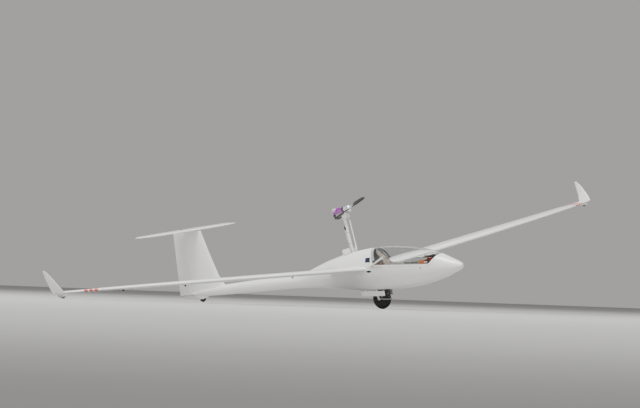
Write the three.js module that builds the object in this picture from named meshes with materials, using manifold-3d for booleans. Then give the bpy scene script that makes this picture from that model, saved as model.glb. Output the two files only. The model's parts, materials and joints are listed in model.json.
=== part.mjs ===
// Scale model sailplane, five metres across, with a fold-away electric motor on a mast.
// Millimetres. The airframe is drawn level: X forward, Y to port, Z up, with the origin on the
// plane of symmetry at the wing root's leading edge. It is then set down on its three wheels.

import * as THREE from 'three';
import { mergeVertices } from 'three/addons/utils/BufferGeometryUtils.js';
import Module from 'manifold-3d';

const wasm = await Module();
wasm.setup();

const RAD = Math.PI / 180;
const GAP = 0.3;

// Fuselage
const WALL = 2.2;
const ROUNDNESS = 2.2;
const RING_POINTS = 32;
const NOSE_X = 609;
const HULL_END_X = -1345;
const CAVITY_FRONT_X = 598;
const CAVITY_REAR_X = -600;

// Wing
const ROOT_Y = 92;
const TIP_Y = 2475;
const DIHEDRAL = 3.73 * RAD;
const ROOT_TE_X = -250;
const TIP_TE_X = -238;
const FLAP_FROM_Y = 104;
const FLAP_TO_Y = 1180;
const AILERON_FROM_Y = 1184;
const AILERON_TO_Y = 2360;
const BRAKE_FROM_Y = 560;
const BRAKE_TO_Y = 860;
const BRAKE_X = -118;

// Winglet
const WINGLET_HEIGHT = 124;
const WINGLET_LEAN = 20;

// Tail
const FIN_TOP_Z = 298;
const TAIL_TE_X = -1452;
const FIN_HINGE_TOP_X = -1375;
const FIN_HINGE_LOW_X = -1348;
const RUDDER_LOW_Z = -76;
const TAILPLANE_Z = 306;
const TAILPLANE_HALF_SPAN = 446;
const ELEVATOR_HINGE_X = -1350;
const ELEVATOR_TO_Y = 425;
const ELEVATOR_NOTCH = 21;
const ELEVATOR_REST = 8 * RAD;

// Wheels
const MAIN_WHEEL = { x: 22, y: 0, z: -177, radius: 59, width: 36 };
const TAIL_WHEEL = { x: -1286, y: 0, z: -97, radius: 24, width: 13 };
const TIP_WHEEL = { x: -190, y: 2452, z: 138, radius: 15, width: 7 };

// Main wheel bay
const BAY_REAR_X = -95;
const BAY_FRONT_X = 125;
const BAY_HALF_WIDTH = 34;
const WELL_TOP_Z = -112;
const WELL_WALL = 3;

// Main wheel leg: its plate, the trailing arm on its starboard side, and the pin it turns on
const LEG_TOP_Z = -114.3;
const LEG_Y = 29.5;
const ARM_Y = 25;
const LEG_TIE = [104.5, -181];
const AXLE_RADIUS = 4;

// Canopy
const CANOPY_HINGE = [481, 0, 46.5];
const FRAME_DEPTH = 5;
const CANOPY_GAP = 1.4;

// Motor mast: two parallel links carry the motor, so that it stays level as it folds aft
const MAST_FOOT = [-136.4, 0, 40];
const MAST_HEAD = [-175.8, 0, 292];
const LINK_OFFSET = [27.5, 0, 27.6];
const MAST_RADIUS = 7;
const LINK_RADIUS = 3.25;
const MOTOR_TILT = 5.5 * RAD;
const MOTOR_RADIUS = 17.5;
const SPINNER_CENTRE = [-142, 0, 349];
const SPINNER_RADIUS = 19.5;
const BLADE_PIVOT_Y = 24;
const PROPELLER_REST = 16 * RAD;
const BLADE_LEAD_SHARE = 0.28;

// Mast bay in the fuselage's back
const MAST_BAY_FRONT_X = -137;
const MAST_BAY_SPLIT_X = -190;
const MAST_BAY_REAR_X = -500;
const MAST_BAY_HALF_WIDTH = 32.5;
const AFT_BAY_HALF_WIDTH = 40;
const FRONT_DOOR_OPEN = 82 * RAD;

// Colours
const WHITE = { color: 0xf4f3ee, roughness: 0.25, metalness: 0 };
const CLEAR = { color: 0xe6e9ea, roughness: 0.08, metalness: 0 };
const TAUPE = { color: 0xa69c8b, roughness: 0.8, metalness: 0 };
const DARK = { color: 0x23231f, roughness: 0.6, metalness: 0 };
const RUBBER = { color: 0x1c1c1a, roughness: 0.9, metalness: 0 };
const GREY = { color: 0x8d8d88, roughness: 0.5, metalness: 0 };
const SILVER = { color: 0xc4c6c8, roughness: 0.25, metalness: 1 };
const PURPLE = { color: 0x8a4fb0, roughness: 0.3, metalness: 0.8 };
const ORANGE = { color: 0xd9703a, roughness: 0.5, metalness: 0 };
const CREAM = { color: 0xd8d2bf, roughness: 0.5, metalness: 0 };

// Solids

function toSolid(geometry) {
  const plain = geometry.clone();
  plain.deleteAttribute('normal');
  plain.deleteAttribute('uv');
  const merged = mergeVertices(plain, 1e-4);
  const solid = new wasm.Manifold(new wasm.Mesh({
    numProp: 3,
    vertProperties: new Float32Array(merged.attributes.position.array),
    triVerts: new Uint32Array(merged.index.array),
  }));
  return solid;
}

function toGeometry(solid) {
  const mesh = solid.getMesh();
  const geometry = new THREE.BufferGeometry();
  geometry.setAttribute('position', new THREE.BufferAttribute(mesh.vertProperties, 3));
  geometry.setIndex(new THREE.BufferAttribute(mesh.triVerts, 1));
  geometry.computeVertexNormals();
  return geometry;
}

function union(first, ...others) {
  return others.reduce((solid, other) => solid.add(other), first);
}

function box(x0, x1, y0, y1, z0, z1) {
  const geometry = new THREE.BoxGeometry(x1 - x0, y1 - y0, z1 - z0);
  geometry.translate((x0 + x1) / 2, (y0 + y1) / 2, (z0 + z1) / 2);
  return toSolid(geometry);
}

// A round bar between two points
function bar(from, to, radius, sides = 16, endRadius = radius) {
  const a = new THREE.Vector3(...from);
  const b = new THREE.Vector3(...to);
  const along = b.clone().sub(a);
  const geometry = new THREE.CylinderGeometry(endRadius, radius, along.length(), sides);
  const turn = new THREE.Quaternion().setFromUnitVectors(
    new THREE.Vector3(0, 1, 0), along.clone().normalize());
  geometry.applyQuaternion(turn);
  geometry.translate(...a.add(b).multiplyScalar(0.5).toArray());
  return toSolid(geometry);
}

// A bar across the airframe, centred at (x, z)
function crossBar(x, z, halfLength, radius, sides = 16) {
  return bar([x, -halfLength, z], [x, halfLength, z], radius, sides);
}

// A bar across the airframe on a wheel's axis
function crossBarAt({ x, y, z }, halfLength, radius, sides = 16) {
  return bar([x, y - halfLength, z], [x, y + halfLength, z], radius, sides);
}

// A side view outline of [x, z] corners, given a thickness from y0 to y1
function sidePlate(corners, y0, y1) {
  const outline = new THREE.Shape(corners.map(([x, z]) => new THREE.Vector2(x, z)));
  const geometry = new THREE.ExtrudeGeometry(outline, { depth: y1 - y0, bevelEnabled: false });
  geometry.rotateX(Math.PI / 2);
  geometry.translate(0, y1, 0);
  return toSolid(geometry);
}

// A closed profile of [radius, along] turned about an axis through a point
function turned(profile, centre, axis, sides) {
  const points = profile.map(([r, s]) => new THREE.Vector2(r, s));
  const geometry = new THREE.LatheGeometry(points, sides);
  const turn = new THREE.Quaternion().setFromUnitVectors(
    new THREE.Vector3(0, 1, 0), new THREE.Vector3(...axis).normalize());
  geometry.applyQuaternion(turn);
  geometry.translate(...centre);
  const solid = toSolid(geometry);
  if (solid.volume() > 0) return solid;
  return toSolid(flipped(geometry));
}

function flipped(geometry) {
  const turnedOver = geometry.clone();
  const order = turnedOver.index.array;
  for (let i = 0; i < order.length; i += 3) [order[i], order[i + 1]] = [order[i + 1], order[i]];
  return turnedOver;
}

// A skin through rings of equally many points, closed at both ends
function loft(rings) {
  const count = rings[0].length;
  const positions = rings.flat().flatMap((p) => [p.x, p.y, p.z]);
  const faces = [];
  for (let r = 0; r < rings.length - 1; r += 1) {
    for (let i = 0; i < count; i += 1) {
      const j = (i + 1) % count;
      const low = r * count;
      const high = low + count;
      faces.push(low + i, low + j, high + j, low + i, high + j, high + i);
    }
  }
  const last = (rings.length - 1) * count;
  for (const [a, b, c] of capFaces(rings[0])) faces.push(c, b, a);
  for (const [a, b, c] of capFaces(rings[rings.length - 1])) faces.push(last + a, last + b, last + c);
  let geometry = new THREE.BufferGeometry();
  geometry.setAttribute('position', new THREE.Float32BufferAttribute(positions, 3));
  geometry.setIndex(faces);
  if (signedVolume(geometry) < 0) geometry = flipped(geometry);
  return toSolid(geometry);
}

// Triangles that close a flat ring, counter-clockwise as the ring runs
function capFaces(ring) {
  const normal = new THREE.Vector3();
  ring.forEach((p, i) => {
    const q = ring[(i + 1) % ring.length];
    normal.x += (p.y - q.y) * (p.z + q.z);
    normal.y += (p.z - q.z) * (p.x + q.x);
    normal.z += (p.x - q.x) * (p.y + q.y);
  });
  normal.normalize();
  const turn = new THREE.Quaternion().setFromUnitVectors(normal, new THREE.Vector3(0, 0, 1));
  const flat = ring.map((p) => p.clone().applyQuaternion(turn));
  return THREE.ShapeUtils.triangulateShape(flat.map((p) => new THREE.Vector2(p.x, p.y)), []);
}

function signedVolume(geometry) {
  const position = geometry.attributes.position;
  const order = geometry.index.array;
  const at = (i) => new THREE.Vector3().fromBufferAttribute(position, i);
  let sum = 0;
  for (let i = 0; i < order.length; i += 3) {
    sum += at(order[i]).dot(at(order[i + 1]).cross(at(order[i + 2])));
  }
  return sum / 6;
}

function mirrored(solid) {
  return solid.mirror([0, 1, 0]);
}

// Bodies: groups that turn about an axis through a point, and the pieces they carry

const airframe = new THREE.Group();

function addPiece(name, solid, look, group = airframe) {
  const mesh = new THREE.Mesh(toGeometry(solid), new THREE.MeshStandardMaterial(look));
  mesh.name = name;
  const origin = group.userData.point ?? new THREE.Vector3();
  mesh.position.copy(origin).negate();
  group.add(mesh);
  return mesh;
}

function pivot(name, point, axis, restAngle = 0, parent = airframe) {
  const group = new THREE.Group();
  const parentPoint = parent.userData.point ?? new THREE.Vector3();
  group.userData = {
    name,
    point: new THREE.Vector3(...point),
    axis: new THREE.Vector3(...axis).normalize(),
  };
  group.position.copy(group.userData.point).sub(parentPoint);
  group.quaternion.setFromAxisAngle(group.userData.axis, restAngle);
  parent.add(group);
  return group;
}

// Fuselage sections: station x, top z, bottom z, half width
const HULL = [
  [NOSE_X, -15, -33, 9],
  [598, -6, -43, 19],
  [580, 3, -51, 29],
  [560, 12, -59, 38],
  [534, 23, -68, 47],
  [500, 40, -80, 57],
  [459, 57, -91, 67],
  [411, 74, -102, 76],
  [349, 89, -114, 84],
  [273, 103, -124, 89],
  [160, 116, -131, 91],
  [59, 119, -131, 90],
  [-20, 113, -129, 86],
  [-90, 106, -125, 82],
  [-140, 100, -120, 79],
  [-210, 88, -111, 73],
  [-315, 63, -98, 63],
  [-392, 39, -90, 54],
  [-450, 19, -86, 48],
  [-502, 4, -84, 43.5],
  [-560, -5, -83, 40],
  [-681, -10, -83, 36],
  [-908, -18, -86, 32],
  [-1092, -28, -88, 28],
  [-1250, -38, -88, 22],
  [HULL_END_X, -48, -85, 14],
];

function hullRing(x, top, bottom, half) {
  const middle = (top + bottom) / 2;
  const rise = (top - bottom) / 2;
  const power = 2 / ROUNDNESS;
  const ring = [];
  for (let i = 0; i < RING_POINTS; i += 1) {
    const angle = (i / RING_POINTS) * 2 * Math.PI;
    const c = Math.cos(angle);
    const s = Math.sin(angle);
    ring.push(new THREE.Vector3(
      x,
      half * Math.sign(c) * Math.abs(c) ** power,
      middle + rise * Math.sign(s) * Math.abs(s) ** power));
  }
  return ring;
}

function hullAt(x) {
  const next = HULL.findIndex((row) => row[0] <= x);
  if (next === 0) return HULL[0];
  if (next < 0) return HULL[HULL.length - 1];
  const [a, b] = [HULL[next - 1], HULL[next]];
  const t = (x - a[0]) / (b[0] - a[0]);
  return a.map((value, i) => value + (b[i] - value) * t);
}

// The hull's outer shape, grown or shrunk evenly, between two stations
function hullShape(grow, fromX, toX) {
  const inside = HULL.map((row) => row[0]).filter((x) => x < fromX - 1 && x > toX + 1);
  const rings = [fromX, ...inside, toX].map((x) => {
    const [, top, bottom, half] = hullAt(x);
    return hullRing(x, top + grow, bottom - grow, half + grow);
  });
  return loft(rings);
}

// Height of the hull's upper skin at a point of its plan
function skinTop(x, y) {
  const [, top, bottom, half] = hullAt(x);
  const reach = Math.min(1, Math.abs(y) / half);
  return (top + bottom) / 2 + ((top - bottom) / 2) * (1 - reach ** ROUNDNESS) ** (1 / ROUNDNESS);
}

const hullOuter = hullShape(0, NOSE_X, HULL_END_X);
const hullCavity = hullShape(-WALL, CAVITY_FRONT_X, CAVITY_REAR_X);
const hullLining = hullShape(-WALL - GAP, CAVITY_FRONT_X - GAP, CAVITY_REAR_X + GAP);
const hullClearance = hullShape(GAP, NOSE_X + GAP, HULL_END_X - GAP);

// Wing sections as thickness and camber over the chord, upper side first, from the trailing edge
const AIRFOIL_STEPS = [1, 0.9, 0.75, 0.55, 0.38, 0.22, 0.1, 0.03, 0.004];

function airfoilHalf(f, thickness) {
  const x = Math.min(1, Math.max(0, f));
  const t = 5 * thickness * (0.2969 * Math.sqrt(x) - 0.126 * x - 0.3516 * x * x
    + 0.2843 * x ** 3 - 0.1036 * x ** 4);
  return t + 0.003 * x;
}

function camberAt(f, camber) {
  return 4 * camber * f * (1 - f);
}

// A ring of airfoil points from a leading edge, a trailing edge and the direction of its lift
function airfoilRing(lead, trail, up, thickness, camber = 0) {
  const chord = trail.clone().sub(lead);
  const length = chord.length();
  const place = (f, offset) => lead.clone().addScaledVector(chord, f).addScaledVector(up, offset * length);
  const upper = AIRFOIL_STEPS.map((f) => place(f, camberAt(f, camber) + airfoilHalf(f, thickness)));
  const lower = AIRFOIL_STEPS.map((f) => place(f, camberAt(f, camber) - airfoilHalf(f, thickness)));
  return [...upper, ...lower.reverse()];
}

// Wing plan: share of the half span, chord
const WING_PLAN = [
  [0, 250],
  [0.25, 238],
  [0.5, 217],
  [0.72, 180],
  [0.86, 144],
  [0.95, 109],
  [1, 84],
];
const WING_THICKNESS = 0.115;
const WING_CAMBER = 0.022;
const WING_UP = new THREE.Vector3(0, -Math.sin(DIHEDRAL), Math.cos(DIHEDRAL));

function wingZ(y) {
  return (y - 80) * Math.tan(DIHEDRAL);
}

function wingChord(y) {
  const share = Math.min(1, Math.max(0, (y - 80) / (TIP_Y - 80)));
  const next = Math.max(1, WING_PLAN.findIndex((row) => row[0] >= share));
  const [a, b] = [WING_PLAN[next - 1], WING_PLAN[next]];
  return a[1] + ((b[1] - a[1]) * (share - a[0])) / (b[0] - a[0]);
}

function wingTrail(y) {
  return ROOT_TE_X + ((TIP_TE_X - ROOT_TE_X) * (y - 80)) / (TIP_Y - 80);
}

function wingRing(y, grow = 1, longer = 0) {
  const trail = new THREE.Vector3(wingTrail(y) - longer, y, wingZ(y) - 0.02 * wingChord(y));
  const lead = new THREE.Vector3(wingTrail(y) + wingChord(y) + longer / 2, y, wingZ(y));
  return airfoilRing(lead, trail, WING_UP, WING_THICKNESS * grow, WING_CAMBER);
}

// A point on the wing's middle surface
function wingMiddle(y, x) {
  const f = (wingTrail(y) + wingChord(y) - x) / wingChord(y);
  return wingZ(y) - 0.02 * wingChord(y) * f + camberAt(f, WING_CAMBER) * wingChord(y);
}

// Hinge lines of the trailing edge surfaces run straight along the wing
function wingHingeX(y) {
  return -201 + (-219 + 201) * ((y - 100) / 2260);
}

function wingHingePoint(y) {
  return [wingHingeX(y), y, wingMiddle(y, wingHingeX(y))];
}

// A prism between two hinge points, its section a list of [x, z] offsets from the hinge line
function hingePrism(from, to, section) {
  return loft([from, to].map(([x, y, z]) =>
    section.map(([dx, dz]) => new THREE.Vector3(x + dx, y, z + dz))));
}

const TALL = 30;
const LONG = 120;

// The nose of a moving surface: a wedge with its edge on the hinge line
function wedgeSection(up, down) {
  return [
    [0, 0],
    [-TALL * Math.tan(up), TALL],
    [-LONG, TALL],
    [-LONG, -TALL],
    [-TALL * Math.tan(down), -TALL],
  ];
}

const POCKET_SECTION = [[0.6, TALL], [-LONG, TALL], [-LONG, -TALL], [0.6, -TALL]];
const SURFACE_GAP = 0.8;

function surfaceCut(whole, fromY, toY, up, down) {
  const inner = [wingHingePoint(fromY), wingHingePoint(toY)];
  const outer = [wingHingePoint(fromY - SURFACE_GAP), wingHingePoint(toY + SURFACE_GAP)];
  return {
    surface: whole.intersect(hingePrism(...inner, wedgeSection(up, down))),
    pocket: hingePrism(...outer, POCKET_SECTION),
    point: inner[0],
    axis: inner[1].map((value, i) => value - inner[0][i]),
  };
}

// The air brake: a blade that slides up out of a slot, with a cap flush in the wing's top
function brakeBox(halfLength, halfThick, low, high) {
  const y = (BRAKE_FROM_Y + BRAKE_TO_Y) / 2;
  const shape = box(-halfThick, halfThick, -halfLength, halfLength, low, high);
  return shape.rotate([3.73, 0, 0]).translate([BRAKE_X, y, wingMiddle(y, BRAKE_X)]);
}

function buildWing() {
  const stations = [ROOT_Y, 230, 560, 860, 1184, 1800, 2140, 2355, 2425, TIP_Y];
  const whole = loft(stations.map((y) => wingRing(y)));
  const flap = surfaceCut(whole, FLAP_FROM_Y, FLAP_TO_Y, 14 * RAD, 42 * RAD);
  const aileron = surfaceCut(whole, AILERON_FROM_Y + 2, AILERON_TO_Y, 24 * RAD, 24 * RAD);
  const half = (BRAKE_TO_Y - BRAKE_FROM_Y) / 2;
  const cap = whole.intersect(brakeBox(half, 5, 9.2, 40));
  const blade = brakeBox(half - 4, 1.2, -7.5, 9.4);
  const slot = union(brakeBox(half - 3.5, 1.8, -8.2, 9), brakeBox(half + 0.5, 5.5, 8.8, 40));
  const wheelRoom = crossBarAt(TIP_WHEEL, TIP_WHEEL.width / 2 + 1, TIP_WHEEL.radius + 1.5, 20);
  return {
    wing: whole.subtract(flap.pocket).subtract(aileron.pocket).subtract(slot).subtract(wheelRoom),
    whole,
    flap,
    aileron,
    brake: union(cap, blade),
  };
}

// The moulded stub that fairs the wing into the hull
function wingStub() {
  return loft([
    wingRing(58, 1.5, 26),
    wingRing(80, 1.18, 10),
    wingRing(ROOT_Y - GAP, 1, 0),
  ]);
}

// Winglet sections: height up the winglet, leading edge x, trailing edge x
const WINGLET_PLAN = [
  [0, -154, -238],
  [0.1, -163, -240],
  [0.24, -174, -244],
  [0.45, -194, -252],
  [0.7, -219, -261],
  [0.9, -243, -268],
  [1, -262, -272],
];
const WINGLET_BEND = 26;

function buildWinglet() {
  const base = new THREE.Vector3(0, TIP_Y + GAP, wingZ(TIP_Y) - 1.5);
  const rings = WINGLET_PLAN.map(([share, leadX, trailX]) => {
    const climb = share * WINGLET_HEIGHT;
    const turn = Math.min(1, climb / WINGLET_BEND);
    const angle = DIHEDRAL + turn * (80 * RAD - DIHEDRAL);
    const out = WINGLET_LEAN * (1 - (1 - share) ** 2.2);
    const up = new THREE.Vector3(0, -Math.sin(angle), Math.cos(angle));
    const lead = new THREE.Vector3(leadX, base.y + out, base.z + climb);
    const trail = new THREE.Vector3(trailX, base.y + out, base.z + climb - 0.6);
    return airfoilRing(lead, trail, up, 0.1, 0.01);
  });
  return loft(rings);
}

// The pod under the wing tip, with the slot and pin of its wheel
function buildTipPod(wing) {
  const { x, y, z, radius, width } = TIP_WHEEL;
  const ball = new THREE.SphereGeometry(1, 16, 10);
  ball.rotateZ(Math.PI / 2);
  ball.scale(34, 8.5, 15);
  ball.translate(x - 2, y, z + 4);
  const slot = crossBarAt(TIP_WHEEL, width / 2 + 1, radius + 2, 20);
  const open = box(x - radius - 2, x + radius + 2, y - width / 2 - 1, y + width / 2 + 1, z - 30, z);
  const pin = crossBarAt(TIP_WHEEL, 7, 1.5, 10);
  const lowered = wing.translate([0, 0, -GAP]);
  return toSolid(ball).subtract(slot).subtract(open).add(pin).subtract(lowered);
}

// Tailplane plan: y, leading edge x, trailing edge x
const TAILPLANE_PLAN = [
  [0, -1248, -1396],
  [150, -1258, -1394],
  [300, -1277, -1391],
  [380, -1295, -1388],
  [425, -1318, -1384],
  [440, -1334, -1380],
  [TAILPLANE_HALF_SPAN, -1352, -1375],
];

function buildTailplane() {
  const up = new THREE.Vector3(0, 0, 1);
  const ring = ([y, leadX, trailX]) => airfoilRing(
    new THREE.Vector3(leadX, y, TAILPLANE_Z),
    new THREE.Vector3(trailX, y, TAILPLANE_Z), up, 0.095);
  const port = TAILPLANE_PLAN.map(ring);
  const starboard = TAILPLANE_PLAN.slice(1).map(([y, a, b]) => ring([-y, a, b])).reverse();
  const whole = loft([...starboard, ...port]);
  const section = wedgeSection(28 * RAD, 28 * RAD);
  const hinge = (y) => [ELEVATOR_HINGE_X, y, TAILPLANE_Z];
  const halfOf = (side) => whole.intersect(hingePrism(
    hinge(side * ELEVATOR_NOTCH), hinge(side * ELEVATOR_TO_Y), section));
  const joiner = crossBar(ELEVATOR_HINGE_X - 5, TAILPLANE_Z, ELEVATOR_NOTCH + 6, 2, 10);
  const pocket = hingePrism(hinge(-ELEVATOR_TO_Y - 1), hinge(ELEVATOR_TO_Y + 1), POCKET_SECTION);
  return {
    tailplane: whole.subtract(pocket),
    elevator: union(halfOf(-1), joiner, halfOf(1)),
  };
}

// Fin sections: z, leading edge x
const FIN_PLAN = [
  [-60, -1088],
  [-34, -1103],
  [-10, -1122],
  [30, -1147],
  [160, -1197],
  [FIN_TOP_Z, -1245],
];

function finRing([z, leadX]) {
  const up = new THREE.Vector3(0, 1, 0);
  const lead = new THREE.Vector3(leadX, 0, z);
  const trail = new THREE.Vector3(TAIL_TE_X, 0, z);
  return airfoilRing(lead, trail, up, 0.105);
}

function finHingeX(z) {
  const share = (z - RUDDER_LOW_Z) / (FIN_TOP_Z - RUDDER_LOW_Z);
  return FIN_HINGE_LOW_X + (FIN_HINGE_TOP_X - FIN_HINGE_LOW_X) * share;
}

function finPrism(lowZ, highZ, section) {
  return loft([lowZ, highZ].map((z) =>
    section.map(([dx, dy]) => new THREE.Vector3(finHingeX(z) + dx, dy, z))));
}

function buildFin() {
  const low = [RUDDER_LOW_Z, FIN_PLAN[0][1]];
  const whole = loft([low, ...FIN_PLAN].map(finRing));
  const rudderTop = FIN_TOP_Z - 6;
  const rudder = whole.intersect(finPrism(RUDDER_LOW_Z, rudderTop, wedgeSection(34 * RAD, 34 * RAD)));
  const fin = whole.subtract(finPrism(-200, 400, POCKET_SECTION)).subtract(hullClearance);
  return { fin, rudder };
}

// A tyre as a ring of round section, and the hub that fills it
function buildWheel({ x, y, z, radius, width }, hubRadius, boreRadius, sides) {
  const half = width / 2;
  const shoulder = half * 0.82;
  const profile = [
    [hubRadius, -half * 0.72],
    [radius * 0.8, -half],
    [radius - half * 0.5, -shoulder],
    [radius - half * 0.12, -half * 0.42],
    [radius, 0],
    [radius - half * 0.12, half * 0.42],
    [radius - half * 0.5, shoulder],
    [radius * 0.8, half],
    [hubRadius, half * 0.72],
    [hubRadius, -half * 0.72],
  ];
  const hubHalf = half * 0.7;
  const hub = [
    [boreRadius, -hubHalf],
    [hubRadius - 0.2, -hubHalf],
    [hubRadius - 0.2, hubHalf],
    [boreRadius, hubHalf],
    [boreRadius, -hubHalf],
  ];
  return {
    tyre: turned(profile, [x, y, z], [0, 1, 0], sides),
    hub: turned(hub, [x, y, z], [0, 1, 0], sides),
  };
}

// Fuselage, doors, canopy and cockpit

const CANOPY_EDGE = [
  [2, 150], [2, 113], [37, 22], [50, 11], [395, -8], [422, -7], [437, 1], [490, 60], [490, 150],
];
const GLASS_EDGE = [
  [13, 150], [13, 113], [47, 32], [58, 22], [392, 5], [418, 4], [430, 9], [478, 60], [478, 150],
];

const SIDE = 130;

function prism(corners, grow = 0) {
  const count = corners.length;
  const centre = corners.reduce((sum, [x, z]) => [sum[0] + x / count, sum[1] + z / count], [0, 0]);
  const moved = corners.map(([x, z]) => {
    const dx = x - centre[0];
    const dz = z - centre[1];
    return [x + Math.sign(dx) * grow, z + Math.sign(dz) * grow];
  });
  return sidePlate(moved, -SIDE, SIDE);
}

function mastBayBox(fromX, toX, y0, y1) {
  return box(toX, fromX, y0, y1, -41, 200);
}

function buildShell(stubs) {
  const canopyHole = prism(CANOPY_EDGE, CANOPY_GAP);
  const wheelHole = box(BAY_REAR_X, BAY_FRONT_X, -BAY_HALF_WIDTH, BAY_HALF_WIDTH, -200, -90);
  const mastHole = union(
    mastBayBox(MAST_BAY_FRONT_X, MAST_BAY_SPLIT_X - 1, -MAST_BAY_HALF_WIDTH, MAST_BAY_HALF_WIDTH),
    mastBayBox(MAST_BAY_SPLIT_X, MAST_BAY_REAR_X, -AFT_BAY_HALF_WIDTH, AFT_BAY_HALF_WIDTH));
  const linkSlot = box(-137.5, -103, -6.5, 6.5, 60, 200);
  const { x, z, radius, width } = TAIL_WHEEL;
  const tailWell = bar([x, -width / 2 - 2, z], [x, width / 2 + 2, z], radius + 3, 24);
  const solid = union(hullOuter, ...stubs);
  return solid
    .subtract(hullCavity)
    .subtract(canopyHole)
    .subtract(wheelHole)
    .subtract(mastHole)
    .subtract(linkSlot)
    .subtract(tailWell);
}

// Bay doors: name, front x, rear x, half width of the bay there, how far the hinge stands proud
const AFT_DOOR_SPLIT_X = -345;
const AFT_DOOR_END_X = MAST_BAY_REAR_X + 3.6;
const BAY_DOORS = [
  ['front', MAST_BAY_FRONT_X, MAST_BAY_SPLIT_X, MAST_BAY_HALF_WIDTH, 0.5],
  ['middle', MAST_BAY_SPLIT_X, AFT_DOOR_SPLIT_X, AFT_BAY_HALF_WIDTH, 2],
  ['aft', AFT_DOOR_SPLIT_X, AFT_DOOR_END_X, AFT_BAY_HALF_WIDTH, 1.2],
];
const DOOR_GAP = 0.4;

function buildBayDoor(fromX, toX, halfWidth) {
  const skin = hullOuter.subtract(hullCavity);
  return skin.intersect(mastBayBox(fromX - DOOR_GAP, toX + DOOR_GAP, DOOR_GAP, halfWidth - DOOR_GAP));
}

// The hinge line along a door's outer edge
function doorHinge(fromX, toX, halfWidth, proud) {
  const [from, to] = [fromX, toX].map((x) => [x, halfWidth + 0.5, skinTop(x, halfWidth) + proud]);
  return { point: from, axis: to.map((value, i) => value - from[i]) };
}

function buildCanopy() {
  const outer = hullShape(0, NOSE_X, -100);
  const thick = hullShape(-FRAME_DEPTH, CAVITY_FRONT_X, -100);
  const thin = hullShape(-1.6, CAVITY_FRONT_X, -100);
  const frame = outer.subtract(thick).intersect(prism(CANOPY_EDGE)).subtract(prism(GLASS_EDGE));
  const glass = outer.subtract(thin).intersect(prism(GLASS_EDGE, -0.35));
  return { frame, glass };
}

// The space just inside the hull that the canopy's frame takes
function frameSpace() {
  const band = hullShape(0, NOSE_X, -100).subtract(hullShape(-FRAME_DEPTH - 0.6, CAVITY_FRONT_X, -100));
  return band.intersect(prism(CANOPY_EDGE, 0.6));
}

// A notch in the panel lets the pack's leads pass on the starboard side
const PANEL_NOTCH_Y = -24;
const PANEL_NOTCH_Z = 38;

function buildCockpit() {
  const taken = frameSpace();
  const across = (corners) => sidePlate(corners, -100, 100).intersect(hullLining).subtract(taken);
  const seatSide = across([
    [22, 96], [32, 96], [102, 12], [150, -42], [200, -72], [300, -76], [318, -60], [322, -60],
    [322, -64], [302, -82], [198, -78], [144, -47], [96, 8],
  ]);
  const seat = seatSide.intersect(frontPlate(SEAT_OUTLINE, -10, 330));
  const shelf = across([[300, -14], [300, -10], [446, -10], [446, -14]]);
  const tray = union(shelf, sideRail(1), sideRail(-1));
  const panel = across([
    [386.5, -6], [386.5, 45], [349, 41.5], [346, 45], [350, 50], [386, 55], [424, 55],
    [424, 51.5], [392, 51.5], [390, 49], [390, -6],
  ]).subtract(box(384, 392, -90, PANEL_NOTCH_Y, -10, PANEL_NOTCH_Z));
  const former = across([[-8, -110], [-8, 110], [-5, 110], [-5, -110]]);
  return { seat, tray, panel, former };
}

// Front view of the seat shell: a narrow back that widens to the pan
const SEAT_OUTLINE = [
  [-100, -100], [100, -100], [100, 4], [31, 14], [16, 92], [11, 97],
  [-11, 97], [-16, 92], [-31, 14], [-100, 4],
];

// A front view outline of [y, z] corners, given a thickness from x0 to x1
function frontPlate(corners, x0, x1) {
  const outline = new THREE.Shape(corners.map(([y, z]) => new THREE.Vector2(y, z)));
  const geometry = new THREE.ExtrudeGeometry(outline, { depth: x1 - x0, bevelEnabled: false });
  geometry.rotateX(Math.PI / 2);
  geometry.rotateZ(Math.PI / 2);
  geometry.translate(x0, 0, 0);
  return toSolid(geometry);
}

// The rail along one side of the cockpit
function sideRail(side) {
  const lengthways = box(150, 305, side > 0 ? 50 : -100, side > 0 ? 100 : -50, -18, 15);
  const inner = hullShape(-WALL - 11, CAVITY_FRONT_X, -100);
  return lengthways.intersect(hullLining).subtract(inner).subtract(frameSpace());
}

// Main wheel leg and its bay

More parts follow.
